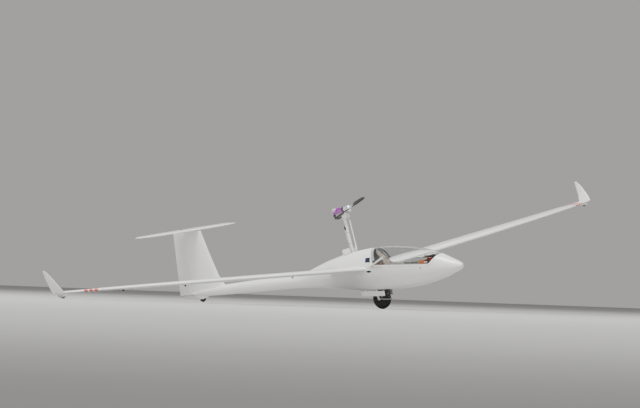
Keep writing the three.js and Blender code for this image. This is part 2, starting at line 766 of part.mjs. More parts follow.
function buildMainGear() {
  const { x, z } = MAIN_WHEEL;
  const inY = BAY_HALF_WIDTH;
  const outY = BAY_HALF_WIDTH + WELL_WALL;
  const outside = box(BAY_REAR_X - WELL_WALL, BAY_FRONT_X + WELL_WALL, -outY, outY, -140, WELL_TOP_Z);
  const hollow = box(BAY_REAR_X, BAY_FRONT_X, -inY, inY, -150, WELL_TOP_Z - 2);
  const well = outside.subtract(hollow).intersect(hullLining);
  const plateCorners = [
    [56, LEG_TOP_Z], [106, LEG_TOP_Z], [104, -140], [109, -186], [101, -186], [74, -150],
  ];
  const plate = sidePlate(plateCorners, -LEG_Y - 1.5, -LEG_Y + 1.5);
  const [tieX, tieZ] = LEG_TIE;
  const tie = bar([tieX, -LEG_Y, tieZ], [tieX, -ARM_Y + 2.5, tieZ], 2.4, 12);
  const legTop = bar([92, -LEG_Y, -119.5], [92, BAY_HALF_WIDTH - GAP, -119.5], 4, 12);
  const leg = union(plate, tie, legTop);
  const axleBore = crossBar(x, z, 60, AXLE_RADIUS + 0.2, 16);
  const tieBore = crossBar(tieX, tieZ, 60, 2.7, 12);
  const armCorners = [
    [x - 7, z - 5], [x + 5, z - 5], [x + 14, z - 3], [tieX - 14, tieZ - 2.6],
    [tieX - 5, tieZ - 4.3], [tieX + 4, tieZ - 4.3], [tieX + 4, tieZ + 3.8], [tieX - 5, tieZ + 3.8],
    [tieX - 14, tieZ + 2.2], [x + 14, z + 2.6], [x + 5, z + 5], [x - 7, z + 5],
  ];
  const arm = sidePlate(armCorners, -ARM_Y - 2, -ARM_Y + 2).subtract(tieBore);
  const strutCorners = [
    [x - 26, LEG_TOP_Z], [x - 12, LEG_TOP_Z], [x + 6, z + 2],
    [x + 6, z - 7], [x - 6, z - 7], [x - 8, z + 4],
  ];
  const strutOf = (side) => {
    return sidePlate(strutCorners, side * LEG_Y - 1.5, side * LEG_Y + 1.5).subtract(axleBore);
  };
  const fork = union(arm, crossBar(x, z, ARM_Y + 8, AXLE_RADIUS, 16));
  return { well, leg, fork, strutOf };
}

function buildGearDoor() {
  const panel = sidePlate([[-92, -127], [72, -131], [75, -159], [-88, -155]], 37, 39);
  const tab = (x) => sidePlate([[x - 5, -133], [x + 5, -133], [x + 4, -119], [x - 4, -119]], 36, 39.2);
  return union(panel, tab(-62), tab(20)).subtract(hullClearance);
}

// Tail wheel fairing under the boom, with the slot and the pin of the wheel
function buildTailFairing() {
  const { x, z, radius, width } = TAIL_WHEEL;
  const ring = (atX, low, half) => hullRing(atX, -70, low, half);
  const pod = loft([
    ring(-1228, -84, 4),
    ring(-1250, -99, 10),
    ring(-1275, -107, 12.5),
    ring(-1305, -107, 12.5),
    ring(-1330, -98, 9),
    ring(-1343, -88, 4),
  ]);
  const slot = bar([x, -width / 2 - 1.5, z], [x, width / 2 + 1.5, z], radius + 2.5, 24);
  const pin = crossBar(x, z, 11, 2, 12);
  return pod.subtract(slot).add(pin).subtract(hullClearance);
}

// Motor mast

function plus(a, b) {
  return a.map((value, i) => value + b[i]);
}

const LINK_FOOT = plus(MAST_FOOT, LINK_OFFSET);
const LINK_HEAD = plus(MAST_HEAD, LINK_OFFSET);
const MOTOR_AXIS = [Math.cos(MOTOR_TILT), 0, Math.sin(MOTOR_TILT)];

// A point on the motor's axis, measured forward from the spinner's centre
function onMotor(distance) {
  return SPINNER_CENTRE.map((value, i) => value + MOTOR_AXIS[i] * distance);
}

const HUB_CENTRE = onMotor(10);

function between(a, b, share) {
  return a.map((value, i) => value + (b[i] - value) * share);
}

function buildMastBase() {
  const corners = [[-150, 22], [-148, 52], [-118, 84], [-98, 84], [-94.3, 78], [-94.3, 14]];
  const plate = (side) => sidePlate(corners, side * 13 - 1.5, side * 13 + 1.5);
  const back = box(-102, -94.3, -13, 13, 14, 52);
  const pins = [MAST_FOOT, LINK_FOOT].map(([x, , z]) => crossBar(x, z, 13, 2.5, 12));
  return union(plate(-1), plate(1), back, ...pins);
}

function buildMastTube() {
  const tube = bar(MAST_FOOT, MAST_HEAD, MAST_RADIUS, 20);
  const foot = crossBar(MAST_FOOT[0], MAST_FOOT[2], 8, 8.2, 20);
  const head = crossBar(MAST_HEAD[0], MAST_HEAD[2], 8, 8.5, 20);
  const collar = bar(between(MAST_FOOT, MAST_HEAD, 0.9), between(MAST_FOOT, MAST_HEAD, 0.965), 8.5, 20);
  const bore = ([x, , z]) => crossBar(x, z, 30, 2.8, 12);
  return union(tube, foot, head, collar).subtract(bore(MAST_FOOT)).subtract(bore(MAST_HEAD));
}

function buildLinkRod() {
  const rod = bar(LINK_FOOT, LINK_HEAD, LINK_RADIUS, 12);
  const eye = ([x, , z]) => crossBar(x, z, 4.5, 5.2, 14);
  const bore = ([x, , z]) => crossBar(x, z, 30, 2.8, 12);
  return union(rod, eye(LINK_FOOT), eye(LINK_HEAD)).subtract(bore(LINK_FOOT)).subtract(bore(LINK_HEAD));
}

function buildMotorHead() {
  const corners = [
    [-186, 290], [-178, 283], [-168, 285], [-142, 313], [-141, 321], [-146, 326], [-184, 334],
  ];
  const plate = (side) => sidePlate(corners, side * 10 - 1.1, side * 10 + 1.1);
  const saddle = box(-184, -166, -10, 10, 317, 336);
  const pins = [MAST_HEAD, LINK_HEAD].map(([x, , z]) => crossBar(x, z, 10.5, 2.5, 12));
  const clampSpace = bar(onMotor(-60), onMotor(-12), MOTOR_RADIUS + GAP, 24);
  const ballSpace = turned(ballProfile(SPINNER_RADIUS + 1.2), SPINNER_CENTRE, MOTOR_AXIS, 24);
  return union(plate(-1), plate(1), saddle, ...pins).subtract(clampSpace).subtract(ballSpace);
}

function ballProfile(radius) {
  const profile = [];
  for (let i = 1; i < 10; i += 1) {
    const angle = (i / 10) * Math.PI;
    profile.push([radius * Math.sin(angle), -radius * Math.cos(angle)]);
  }
  return [[0, -radius], ...profile, [0, radius]];
}

// The can, its pale end cap, the black collar and the silver gear ring, front to back
function buildMotor() {
  return {
    gearRing: bar(onMotor(-28.5), onMotor(-18.8), 15, 24),
    collar: bar(onMotor(-38), onMotor(-28.8), 17, 24),
    can: bar(onMotor(-105), onMotor(-38.3), MOTOR_RADIUS, 28),
    endCap: bar(onMotor(-113), onMotor(-105.3), 13, 24, 16.5),
  };
}

// The spinner and the yoke whose two ears hold the blades
function buildHub() {
  const ball = turned(ballProfile(SPINNER_RADIUS), SPINNER_CENTRE, MOTOR_AXIS, 24);
  const flat = bar(onMotor(-40), onMotor(-18.5), 30, 24);
  const arm = box(-4, 4, -BLADE_PIVOT_Y - 5, BLADE_PIVOT_Y + 5, -6, 6);
  const slot = (side) => box(-5, 5, side * BLADE_PIVOT_Y - 6.5, side * BLADE_PIVOT_Y + 6.5, -3, 3);
  const yoke = arm.subtract(slot(1)).subtract(slot(-1));
  const pins = [BLADE_PIVOT_Y, -BLADE_PIVOT_Y].map((y) => bar([0, y, -6], [0, y, 6], 1.5, 10));
  const placed = union(yoke, ...pins).rotate([0, -MOTOR_TILT / RAD, 0]).translate(HUB_CENTRE);
  return union(ball.subtract(flat), placed);
}

// Blade sections from the root: distance along the blade, chord, pitch in degrees, thickness ratio
const BLADE_PLAN = [
  [16, 11, 30, 0.28],
  [40, 21, 26, 0.14],
  [76, 20, 17, 0.11],
  [106, 18, 14, 0.1],
  [128, 14, 11, 0.1],
  [138, 7, 10, 0.1],
  [140, 3, 10, 0.12],
];

function buildBlade() {
  const rings = BLADE_PLAN.map(([s, chord, pitch, thickness]) => {
    const a = pitch * RAD;
    const back = new THREE.Vector3(-Math.sin(a), 0, Math.cos(a));
    const up = new THREE.Vector3(Math.cos(a), 0, Math.sin(a));
    const lead = new THREE.Vector3(0, s, 0).addScaledVector(back, -BLADE_LEAD_SHARE * chord);
    const trail = new THREE.Vector3(0, s, 0).addScaledVector(back, (1 - BLADE_LEAD_SHARE) * chord);
    return airfoilRing(lead, trail, up, thickness, 0.03);
  });
  const root = box(-3.4, 3.4, -3.2, 18, -2.6, 2.6);
  const bore = bar([0, 0, -10], [0, 0, 10], 1.8, 10);
  return union(root, loft(rings)).subtract(bore);
}

// The right blade is the left one turned half round the motor's axis
function placeBlade(side) {
  const blade = buildBlade().translate([0, BLADE_PIVOT_Y, 0]);
  return blade
    .rotate([side > 0 ? 0 : 180, 0, 0])
    .rotate([0, -MOTOR_TILT / RAD, 0])
    .translate(HUB_CENTRE);
}

// The motor's lead from the can's underside to the head plate, and the one down the mast
function tubeAlong(points, radius, steps) {
  const path = new THREE.CatmullRomCurve3(points.map((p) => new THREE.Vector3(...p)));
  const section = new THREE.Shape();
  section.absarc(0, 0, radius, 0, 2 * Math.PI);
  const geometry = new THREE.ExtrudeGeometry(section, {
    steps, extrudePath: path, curveSegments: 4, bevelEnabled: false,
  });
  const solid = toSolid(geometry);
  return solid.volume() > 0 ? solid : toSolid(flipped(mergeVertices(geometry)));
}

// Putting the airframe together

const wingParts = buildWing();
const stub = wingStub();
const shell = buildShell([stub, mirrored(stub)]);
addPiece('fuselage_shell', shell, WHITE);

const finParts = buildFin();
addPiece('fin', finParts.fin, WHITE);
const rudderAxis = [finHingeX(200) - finHingeX(0), 0, 200];
const rudder = pivot('rudder', [finHingeX(0), 0, 0], rudderAxis);
addPiece('rudder', finParts.rudder, WHITE, rudder);

const tail = buildTailplane();
addPiece('tailplane', tail.tailplane, WHITE);
const elevator = pivot('elevator', [ELEVATOR_HINGE_X, 0, TAILPLANE_Z], [0, 1, 0], ELEVATOR_REST);
addPiece('elevator', tail.elevator, WHITE, elevator);

const winglet = buildWinglet();
const tipPod = buildTipPod(wingParts.whole);
for (const side of [1, -1]) {
  const hand = side > 0 ? 'left' : 'right';
  const place = (solid) => (side > 0 ? solid : mirrored(solid));
  const placePoint = ([x, y, z]) => [x, side * y, z];
  addPiece(`${hand}_wing`, place(wingParts.wing), WHITE);
  addPiece(`${hand}_winglet`, place(winglet), WHITE);
  addPiece(`${hand}_tip_pod`, place(tipPod), WHITE);
  for (const [name, cut] of [['flap', wingParts.flap], ['aileron', wingParts.aileron]]) {
    const axis = [-side * cut.axis[0], -cut.axis[1], -side * cut.axis[2]];
    const body = pivot(`${hand}_${name}`, placePoint(cut.point), axis);
    addPiece(`${hand}_${name}`, place(cut.surface), WHITE, body);
  }
  const lift = [0, -side * Math.sin(DIHEDRAL), Math.cos(DIHEDRAL)];
  const brake = pivot(`${hand}_air_brake`, [BRAKE_X, side * 700, 0], lift);
  addPiece(`${hand}_air_brake`, place(wingParts.brake), WHITE, brake);
  const tip = { ...TIP_WHEEL, y: side * TIP_WHEEL.y };
  const tipWheel = turned([
    [1.8, -3.2], [12, -3.5], [14.4, -2], [15, 0], [14.4, 2], [12, 3.5], [1.8, 3.2], [1.8, -3.2],
  ], [tip.x, tip.y, tip.z], [0, 1, 0], 20);
  const tipBody = pivot(`${hand}_tip_wheel`, [tip.x, tip.y, tip.z], [0, 1, 0]);
  addPiece(`${hand}_tip_wheel`, tipWheel, RUBBER, tipBody);
}

// The pale probe that stands out of the starboard wing stub's nose
const PROBE_FOOT = [26, -85, 13];
const PROBE_SHOULDER = [141, -115, 59.6];
const PROBE_TIP = [147, -116.6, 62];
const probeRod = union(bar(PROBE_FOOT, PROBE_SHOULDER, 5), bar(PROBE_SHOULDER, PROBE_TIP, 5, 16, 3));
addPiece('probe_rod', probeRod.subtract(hullClearance), WHITE);

const cockpit = buildCockpit();
addPiece('seat_shell', cockpit.seat, TAUPE);
addPiece('cockpit_tray', cockpit.tray, GREY);
addPiece('instrument_panel', cockpit.panel, CREAM);
addPiece('battery_block', box(343, 383, -48, 10, -9.7, 26), ORANGE);
addPiece('rear_former', cockpit.former, GREY);

const canopyParts = buildCanopy();
const canopy = pivot('canopy', CANOPY_HINGE, [0, 1, 0]);
addPiece('canopy_frame', canopyParts.frame, WHITE, canopy);
addPiece('canopy_glass', canopyParts.glass, CLEAR, canopy);

const gear = buildMainGear();
addPiece('wheel_well', gear.well, DARK);
addPiece('gear_leg', gear.leg, DARK);
addPiece('gear_fork', gear.fork, SILVER);
addPiece('left_gear_strut', gear.strutOf(1), CREAM);
addPiece('right_gear_strut', gear.strutOf(-1), CREAM);
const gearDoor = buildGearDoor();
addPiece('left_gear_door', gearDoor, WHITE);
addPiece('right_gear_door', mirrored(gearDoor), WHITE);

const mainWheel = pivot('main_wheel', [MAIN_WHEEL.x, 0, MAIN_WHEEL.z], [0, 1, 0]);
const mainParts = buildWheel(MAIN_WHEEL, 30, 4.3, 32);
addPiece('main_tyre', mainParts.tyre, RUBBER, mainWheel);
addPiece('main_hub', mainParts.hub, DARK, mainWheel);

addPiece('tail_wheel_fairing', buildTailFairing(), WHITE);
const tailWheel = pivot('tail_wheel', [TAIL_WHEEL.x, 0, TAIL_WHEEL.z], [0, 1, 0]);
const tailParts = buildWheel(TAIL_WHEEL, 13, 2.3, 24);
addPiece('tail_tyre', tailParts.tyre, RUBBER, tailWheel);
addPiece('tail_hub', tailParts.hub, DARK, tailWheel);

const bulkhead = box(-94, -91, -100, 100, -111.6, 110).intersect(hullLining);
addPiece('mast_bulkhead', bulkhead, CREAM);
addPiece('mast_base', buildMastBase(), GREY);
const mast = pivot('mast', MAST_FOOT, [0, -1, 0]);
addPiece('mast_tube', buildMastTube(), WHITE, mast);
const clipFrom = between(MAST_FOOT, MAST_HEAD, 0.74);
const clip = bar(plus(clipFrom, [-9.6, 0, -1.5]), plus(clipFrom, [-13.4, 0, 22.5]), 2.4, 8);
addPiece('lead_clip', clip, DARK, mast);
const link = pivot('link_rod', LINK_FOOT, [0, -1, 0]);
addPiece('link_rod', buildLinkRod(), WHITE, link);

const head = pivot('motor_head', MAST_HEAD, [0, -1, 0], 0, mast);
const motor = buildMotor();
addPiece('head_bracket', buildMotorHead(), SILVER, head);
addPiece('motor_can', motor.can, PURPLE, head);
addPiece('motor_end_cap', motor.endCap, CREAM, head);
addPiece('motor_collar', motor.collar, DARK, head);
addPiece('gear_ring', motor.gearRing, SILVER, head);
const leadPath = [
  [-236, 0, 321.5], [-239, 0, 306], [-230, 0, 293], [-216, 0, 295], [-203, 0, 300], [-187.8, 0, 305],
];
addPiece('motor_lead', tubeAlong(leadPath, 2, 18), DARK, head);

const hub = pivot('propeller', HUB_CENTRE, MOTOR_AXIS, PROPELLER_REST, head);
addPiece('spinner', buildHub(), SILVER, hub);
for (const side of [1, -1]) {
  const foldAxis = [-Math.sin(MOTOR_TILT) * side, 0, Math.cos(MOTOR_TILT) * side];
  const point = [HUB_CENTRE[0], side * BLADE_PIVOT_Y, HUB_CENTRE[2]];
  const name = side > 0 ? 'left_blade' : 'right_blade';
  const body = pivot(name, point, foldAxis, 0, hub);
  addPiece(name, placeBlade(side), DARK, body);
}

for (const [place, fromX, toX, halfWidth, proud] of BAY_DOORS) {
  const door = buildBayDoor(fromX, toX, halfWidth);
  const hinge = doorHinge(fromX, toX, halfWidth, proud);
  const standsOpen = place === 'front';
  for (const side of [1, -1]) {
    const name = `${side > 0 ? 'left' : 'right'}_${place}_bay_door`;
    const turn = standsOpen ? -side : side;
    const [axisX, axisY, axisZ] = hinge.axis;
    const axis = [turn * axisX, turn * side * axisY, turn * axisZ];
    const point = [hinge.point[0], side * hinge.point[1], hinge.point[2]];
    const body = pivot(name, point, axis, standsOpen ? -FRONT_DOOR_OPEN : 0);
    addPiece(name, side > 0 ? door : mirrored(door), WHITE, body);
  }
}

// Standing on the main wheel, the tail wheel and the starboard tip wheel: the floor's normal is
// found again from the three lowest points until it settles.

function lowestPoint({ x, y, z, radius, width }, normal) {
  const crown = width / 2;
  const side = new THREE.Vector3(0, 1, 0);
  const inWheel = normal.clone().addScaledVector(side, -normal.dot(side)).normalize();
  return new THREE.Vector3(x, y, z)
    .addScaledVector(inWheel, -(radius - crown))
    .addScaledVector(normal, -crown);
}

function floorNormal() {
  let normal = new THREE.Vector3(0, 0, 1);
  for (let i = 0; i < 12; i += 1) {
    const main = lowestPoint(MAIN_WHEEL, normal);
    const aft = lowestPoint(TAIL_WHEEL, normal);
    const tip = lowestPoint({ ...TIP_WHEEL, y: -TIP_WHEEL.y }, normal);
    normal = aft.sub(main).cross(tip.sub(main)).normalize();
    if (normal.z < 0) normal.negate();
  }
  return normal;
}

airframe.quaternion.setFromUnitVectors(floorNormal(), new THREE.Vector3(0, 0, 1));

const glider = new THREE.Group();
glider.add(airframe);
glider.updateMatrixWorld(true);
const extent = new THREE.Box3().setFromObject(airframe, true);
airframe.position.set(
  -(extent.min.x + extent.max.x) / 2,
  -(extent.min.y + extent.max.y) / 2,
  -extent.min.z);
glider.updateMatrixWorld(true);

export default glider;
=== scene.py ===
import json
import math

import bpy
from mathutils import Matrix, Vector


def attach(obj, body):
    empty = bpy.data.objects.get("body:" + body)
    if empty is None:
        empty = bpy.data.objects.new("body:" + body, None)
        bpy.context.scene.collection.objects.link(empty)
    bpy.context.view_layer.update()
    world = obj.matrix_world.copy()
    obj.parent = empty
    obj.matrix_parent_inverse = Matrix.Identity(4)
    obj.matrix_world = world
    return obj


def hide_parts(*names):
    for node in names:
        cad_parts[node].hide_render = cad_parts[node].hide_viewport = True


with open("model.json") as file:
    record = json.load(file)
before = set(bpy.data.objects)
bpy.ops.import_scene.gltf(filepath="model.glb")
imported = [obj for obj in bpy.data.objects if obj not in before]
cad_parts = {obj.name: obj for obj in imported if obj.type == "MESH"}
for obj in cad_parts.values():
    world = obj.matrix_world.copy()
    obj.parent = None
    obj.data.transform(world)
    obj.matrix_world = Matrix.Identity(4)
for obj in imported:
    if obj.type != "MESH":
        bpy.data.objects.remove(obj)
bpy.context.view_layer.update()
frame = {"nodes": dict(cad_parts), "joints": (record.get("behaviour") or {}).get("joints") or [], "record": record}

bl_info = {
    "name": "Scale Model Sailplane",
    "version": (1, 0, 0),
    "blender": (4, 5, 0),
    "location": "View3D > Sidebar > Sailplane",
    "description": "Dresses the sailplane's frame with its finishes and fittings",
    "category": "Object",
}

MM = 0.001
DEG = math.pi / 180

# The airframe's own axes in the row frame: X forward, Y to port, Z up, origin at the wing root
MOUNTS = {m["name"]: m for m in frame["record"]["mounts"]}
JOINTS = {j["name"]: j for j in frame["joints"]}
FORWARD = Vector(MOUNTS["nose_flat"]["axis"]).normalized()
UP = Vector(MOUNTS["tray_top"]["axis"]).normalized()
PORT = UP.cross(FORWARD).normalized()
MAIN_AXLE = Vector(JOINTS["main_wheel_spin"]["pos_m"])
TURN = Matrix((FORWARD, PORT, UP)).transposed()
ALONG, ACROSS, UPWARD = (1, 0, 0), (0, 1, 0), (0, 0, 1)
MAIN_WHEEL = (22, 0, -177)
TAIL_WHEEL = (-1286, 0, -97)
TIP_WHEEL = (-190, 2452, 138)
AIRFRAME = Matrix.Translation(MAIN_AXLE - TURN @ (Vector(MAIN_WHEEL) * MM)) @ TURN.to_4x4()

# The photograph's camera, in the airframe's axes
CAMERA_AT = Vector((13350, -17658, 1120)) * MM
CAMERA_RIGHT = Vector((0.7872, 0.6055, -0.1169))
CAMERA_UP = Vector((0.0725, 0.0973, 0.9926))
IMAGE_WIDTH = 640
FOCAL_PIXELS = 3912

# Which finish each CAD node that stays in view wears
CAD_FINISHES = {
    "gelcoat": [
        "fuselage_shell", "fin", "rudder", "tailplane", "elevator", "tail_wheel_fairing",
        "canopy_frame", "left_middle_bay_door", "right_middle_bay_door",
        "left_aft_bay_door", "right_aft_bay_door",
        *(f"{hand}_{piece}" for hand in ("left", "right") for piece in (
            "wing", "winglet", "tip_pod", "flap", "aileron", "air_brake")),
    ],
    # A brighter copy of the gelcoat: painted highlight on the gear doors and the front bay doors
    "painted_highlight_gelcoat": [
        "left_gear_door", "right_gear_door", "left_front_bay_door", "right_front_bay_door"],
    "canopy_clear": ["canopy_glass"],
    "seat_laminate": ["seat_shell"],
    "grey_laminate": ["cockpit_tray"],
    "hood_leatherette": ["instrument_panel"],
    "shrink_wrap": ["battery_block"],
    "well_laminate": ["wheel_well"],
    "leg_enamel": ["gear_leg"],
    "fork_alloy": ["gear_fork"],
    "polished_alloy": ["gear_ring", "spinner"],
    "strut_enamel": ["left_gear_strut", "right_gear_strut"],
    "tyre_rubber": ["main_tyre", "tail_tyre", "left_tip_wheel", "right_tip_wheel"],
    "hub_plastic": ["main_hub", "tail_hub", "lead_clip"],
    "former_grey": ["rear_former"],
    "plywood": ["mast_bulkhead"],
    "base_alloy": ["mast_base"],
    "mast_paint": ["mast_tube", "link_rod", "probe_rod"],
    "violet_anodising": ["motor_can"],
    "end_cap_alloy": ["motor_end_cap", "head_bracket"],
    "collar_enamel": ["motor_collar"],
    "lead_insulation": ["motor_lead"],
    "blade_laminate": ["left_blade", "right_blade"],
}
FINISHES = {}
# The colour slot named for each finish, unless a piece names another; settle looks it up but doesn't keep it
SLOTS = {
    "gelcoat": "white_gelcoat", "painted_highlight_gelcoat": "white_gelcoat", "mast_paint": "white_paint",
    "tyre_rubber": "tyre_rubber", "hub_plastic": "dark_plastic", "collar_enamel": "dark_plastic",
    "bezel_black": "dark_plastic", "vent_painted_shadow": "dark_plastic", "bolt_steel": "bright_metal",
    "polished_alloy": "bright_metal", "violet_anodising": "violet_metal",
    "end_cap_alloy": "cream_plastic", "dial_white": "cream_plastic", "cable_cream": "lead_rubber",
    "tie_nylon": "lead_rubber", "lead_insulation": "lead_rubber", "lead_red": "lead_rubber",
    "seat_piping": "seat_taupe", "seat_laminate": "seat_taupe", "brick_leather": "seat_taupe",
    "hoop_grey": "grey_plastic", "shrink_wrap": "orange_wrap",
}
SMOOTH_ANGLE = 32 * DEG
WELD_DISTANCE = 0.00002
SEAM_DISTANCE = 0.00001
MIRROR = Matrix.Diagonal((1, -1, 1, 1))
# Each hand's side of the airframe
HANDS = ((1, "left"), (-1, "right"))
# The body and finish of the steel fittings on the airframe
STEEL = ("airframe", "bolt_steel")


def colour_setting(name, description, default):
    return bpy.props.FloatVectorProperty(
        name=name, description=description, subtype="COLOR", size=3, default=default, min=0, max=1)


def size_setting(name, description, default, least, most):
    return bpy.props.FloatProperty(
        name=name, description=description, default=default, min=least, max=most, unit="LENGTH")


def power_setting(name, description, default):
    return bpy.props.FloatProperty(
        name=name, description=description, default=default, min=0, unit="POWER")


class FinishSettings(bpy.types.PropertyGroup):
    gelcoat: colour_setting("Gelcoat", "Colour of the white shell", (0.86, 0.855, 0.83))
    stripe: colour_setting(
        "Wing stripes", "Colour of the bands near the wing tips", (0.62, 0.03, 0.03))
    patch: colour_setting(
        "Side patch", "Colour of the square behind the canopy", (0.01, 0.012, 0.045))
    can: colour_setting("Motor can", "Colour of the anodised can", (0.47, 0.12, 0.52))
    canopy_tint: colour_setting("Canopy tint", "Tint of the clear canopy", (0.93, 0.95, 0.95))


class SizeSettings(bpy.types.PropertyGroup):
    main_tyre: size_setting(
        "Main tyre", "Radius of the main wheel's tyre", 0.0588, 0.05, 0.0588)
    tail_tyre: size_setting(
        "Tail tyre", "Radius of the tail wheel's tyre", 0.0239, 0.02, 0.0239)
    tip_tyre: size_setting(
        "Tip tyres", "Radius of the tyres under the wing tips", 0.0149, 0.012, 0.0149)
    mast_cable: size_setting(
        "Mast cable", "Radius of each strand on the mast", 0.0021, 0.001, 0.0025)
    motor_lead: size_setting(
        "Motor leads", "Radius of each of the motor's three leads", 0.0016, 0.001, 0.002)
    horn_height: size_setting(
        "Control horns", "Height of the horns under the wings", 0.0135, 0.006, 0.016)
    vent_length: size_setting(
        "Side vents", "Length of the oval vents in the hull's sides", 0.036, 0.02, 0.04)


class StageSettings(bpy.types.PropertyGroup):
    floor: colour_setting("Floor", "Colour of the floor", (0.4, 0.4, 0.39))
    key_power: power_setting("Key light", "Power of the large light above", 3000)
    fill_power: power_setting("Fill light", "Power of the light on the camera's side", 750)


# Helpers for modelling: pieces are made level, in the airframe's axes, and measured in mm

def deselect():
    if bpy.context.object and bpy.context.object.mode != "OBJECT":
        bpy.ops.object.mode_set(mode="OBJECT")
    bpy.ops.object.select_all(action="DESELECT")


def activate(obj):
    deselect()
    obj.select_set(True)
    bpy.context.view_layer.objects.active = obj


def added(name):
    obj = bpy.context.object
    obj.name = name
    obj.data.name = name
    return obj


def begun(name, primitive, **settings):
    """The mesh or curve that a piece is drawn out of."""
    deselect()
    primitive(**settings)
    return added(name)


def edit(kind="FACE"):
    bpy.ops.object.mode_set(mode="EDIT")
    bpy.ops.mesh.select_mode(type=kind)


def edit_all(kind="FACE"):
    edit(kind)
    bpy.ops.mesh.select_all(action="SELECT")


def close_edit():
    """Turns all faces outward and leaves edit mode."""
    bpy.ops.mesh.select_all(action="SELECT")
    bpy.ops.mesh.normals_make_consistent(inside=False)
    bpy.ops.object.mode_set(mode="OBJECT")


def face_outward():
    edit()
    close_edit()


def aimed(piece, start, direction):
    """Moves a piece from the origin to its start, with its own Z along a direction."""
    turn = Vector(direction).to_track_quat("Z", "Y").to_matrix().to_4x4()
    piece.matrix_world = Matrix.Translation(Vector(start) * MM) @ turn
    return piece


def pick_faces(piece, wanted):
    """Enters edit mode with only the faces selected that a test wants."""
    activate(piece)
    edit()
    bpy.ops.mesh.select_all(action="DESELECT")
    bpy.ops.object.mode_set(mode="OBJECT")
    for face in piece.data.polygons:
        face.select = wanted(face)
    bpy.ops.object.mode_set(mode="EDIT")


def apply_modifier(obj, kind, **settings):
    modifier = obj.modifiers.new(kind.lower(), kind)
    for key, value in settings.items():
        setattr(modifier, key, value)
    activate(obj)
    bpy.ops.object.modifier_apply(modifier=modifier.name)


def smooth(obj):
    activate(obj)
    bpy.ops.object.shade_smooth_by_angle(angle=SMOOTH_ANGLE)


def settle(obj, body, finish, slot=None):
    """Puts a piece that was modelled level into the row frame, with its place in its mesh."""
    slot = slot or SLOTS[finish]
    activate(obj)
    obj.matrix_world = AIRFRAME @ obj.matrix_world
    bpy.ops.object.transform_apply(location=True, rotation=True, scale=True)
    obj.data.materials.clear()
    obj.data.materials.append(FINISHES[finish])
    smooth(obj)
    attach(obj, body)


def turned(name, start, direction, rings, sides=32):
    """A turned piece, drawn out of a disc: each ring is a distance along the axis and a radius."""
    distance, radius = rings[0]
    piece = begun(name, bpy.ops.mesh.primitive_circle_add, vertices=sides, radius=radius * MM,
                  fill_type="NGON")
    edit_all()
    bpy.ops.transform.translate(value=(0, 0, distance * MM))
    for further, wider in rings[1:]:
        step = (further - distance) * MM
        bpy.ops.mesh.extrude_region_move(TRANSFORM_OT_translate={"value": (0, 0, step)})
        share = wider / radius
        bpy.ops.transform.resize(value=(share, share, 1), center_override=(0, 0, further * MM))
        distance, radius = further, wider
    close_edit()
    return aimed(piece, start, direction)


def rod(name, start, direction, length, radius, run, fall, sides):
    """A turned rod whose ends narrow by a fall over a run."""
    return turned(name, start, direction, [
        (0, radius - fall), (run, radius), (length - run, radius), (length, radius - fall)], sides)


def spun(name, centre, direction, profile, steps=64):
    """A closed profile of radius and distance, spun once round an axis."""
    piece = begun(name, bpy.ops.mesh.primitive_circle_add, vertices=len(profile), radius=MM,
                  fill_type="NOTHING")
    for vertex, (radius, along) in zip(piece.data.vertices, profile):
        vertex.co = (radius * MM, 0, along * MM)
    edit_all("VERT")
    bpy.ops.mesh.spin(steps=steps, angle=2 * math.pi, center=(0, 0, 0), axis=(0, 0, 1))
    bpy.ops.mesh.select_all(action="SELECT")
    bpy.ops.mesh.remove_doubles(threshold=SEAM_DISTANCE)
    close_edit()
    return aimed(piece, centre, direction)


def block(name, low, high, bevel, segments=2):
    """A box with rounded edges between two corners."""
    low, high = Vector(low) * MM, Vector(high) * MM
    piece = begun(name, bpy.ops.mesh.primitive_cube_add, size=1, location=(low + high) / 2)
    piece.scale = high - low
    bpy.ops.object.transform_apply(location=True, rotation=False, scale=True)
    edit_all("EDGE")
    bpy.ops.mesh.bevel(offset=bevel * MM, segments=segments, affect="EDGES")
    bpy.ops.object.mode_set(mode="OBJECT")
    return piece


def plate(name, outline, from_y, to_y, bevel, segments=2):
    """A side view outline of x and z, given its thickness along y and rounded edges."""
    piece = begun(name, bpy.ops.mesh.primitive_circle_add, vertices=len(outline), radius=MM,
                  fill_type="NGON")
    for vertex, (x, z) in zip(piece.data.vertices, outline):
        vertex.co = (x * MM, from_y * MM, z * MM)
    edit_all()
    bpy.ops.mesh.extrude_region_move(
        TRANSFORM_OT_translate={"value": (0, (to_y - from_y) * MM, 0)})
    bpy.ops.mesh.select_all(action="SELECT")
    bpy.ops.mesh.normals_make_consistent(inside=False)
    bpy.ops.mesh.bevel(offset=bevel * MM, segments=segments, affect="EDGES")
    bpy.ops.object.mode_set(mode="OBJECT")
    return piece


def wire(name, points, radius, resolution=3, steps=8):
    """A round wire through a row of points."""
    piece = begun(name, bpy.ops.curve.primitive_bezier_curve_add)
    piece.data.dimensions = "3D"
    piece.data.bevel_depth = radius * MM
    piece.data.bevel_resolution = resolution
    piece.data.resolution_u = steps
    piece.data.use_fill_caps = True
    line = piece.data.splines[0].bezier_points
    line.add(len(points) - len(line))
    for knot, point in zip(line, points):
        knot.co = Vector(point) * MM
        knot.handle_left_type = knot.handle_right_type = "AUTO"
    bpy.ops.object.convert(target="MESH")
    return added(name)


def copied(piece, name, place):
    """A copy of a level piece with its own mesh, moved by a matrix."""
    activate(piece)
    bpy.ops.object.duplicate(linked=False)
    twin = added(name)
    twin.matrix_world = place @ piece.matrix_world
    return twin


def joined(name, pieces):
    activate(pieces[0])
    for piece in pieces:
        piece.select_set(True)
    bpy.ops.object.join()
    return added(name)


def around(count, start=0.0):
    """Angles spaced evenly round a circle."""
    return [start + number / count * 2 * math.pi for number in range(count)]


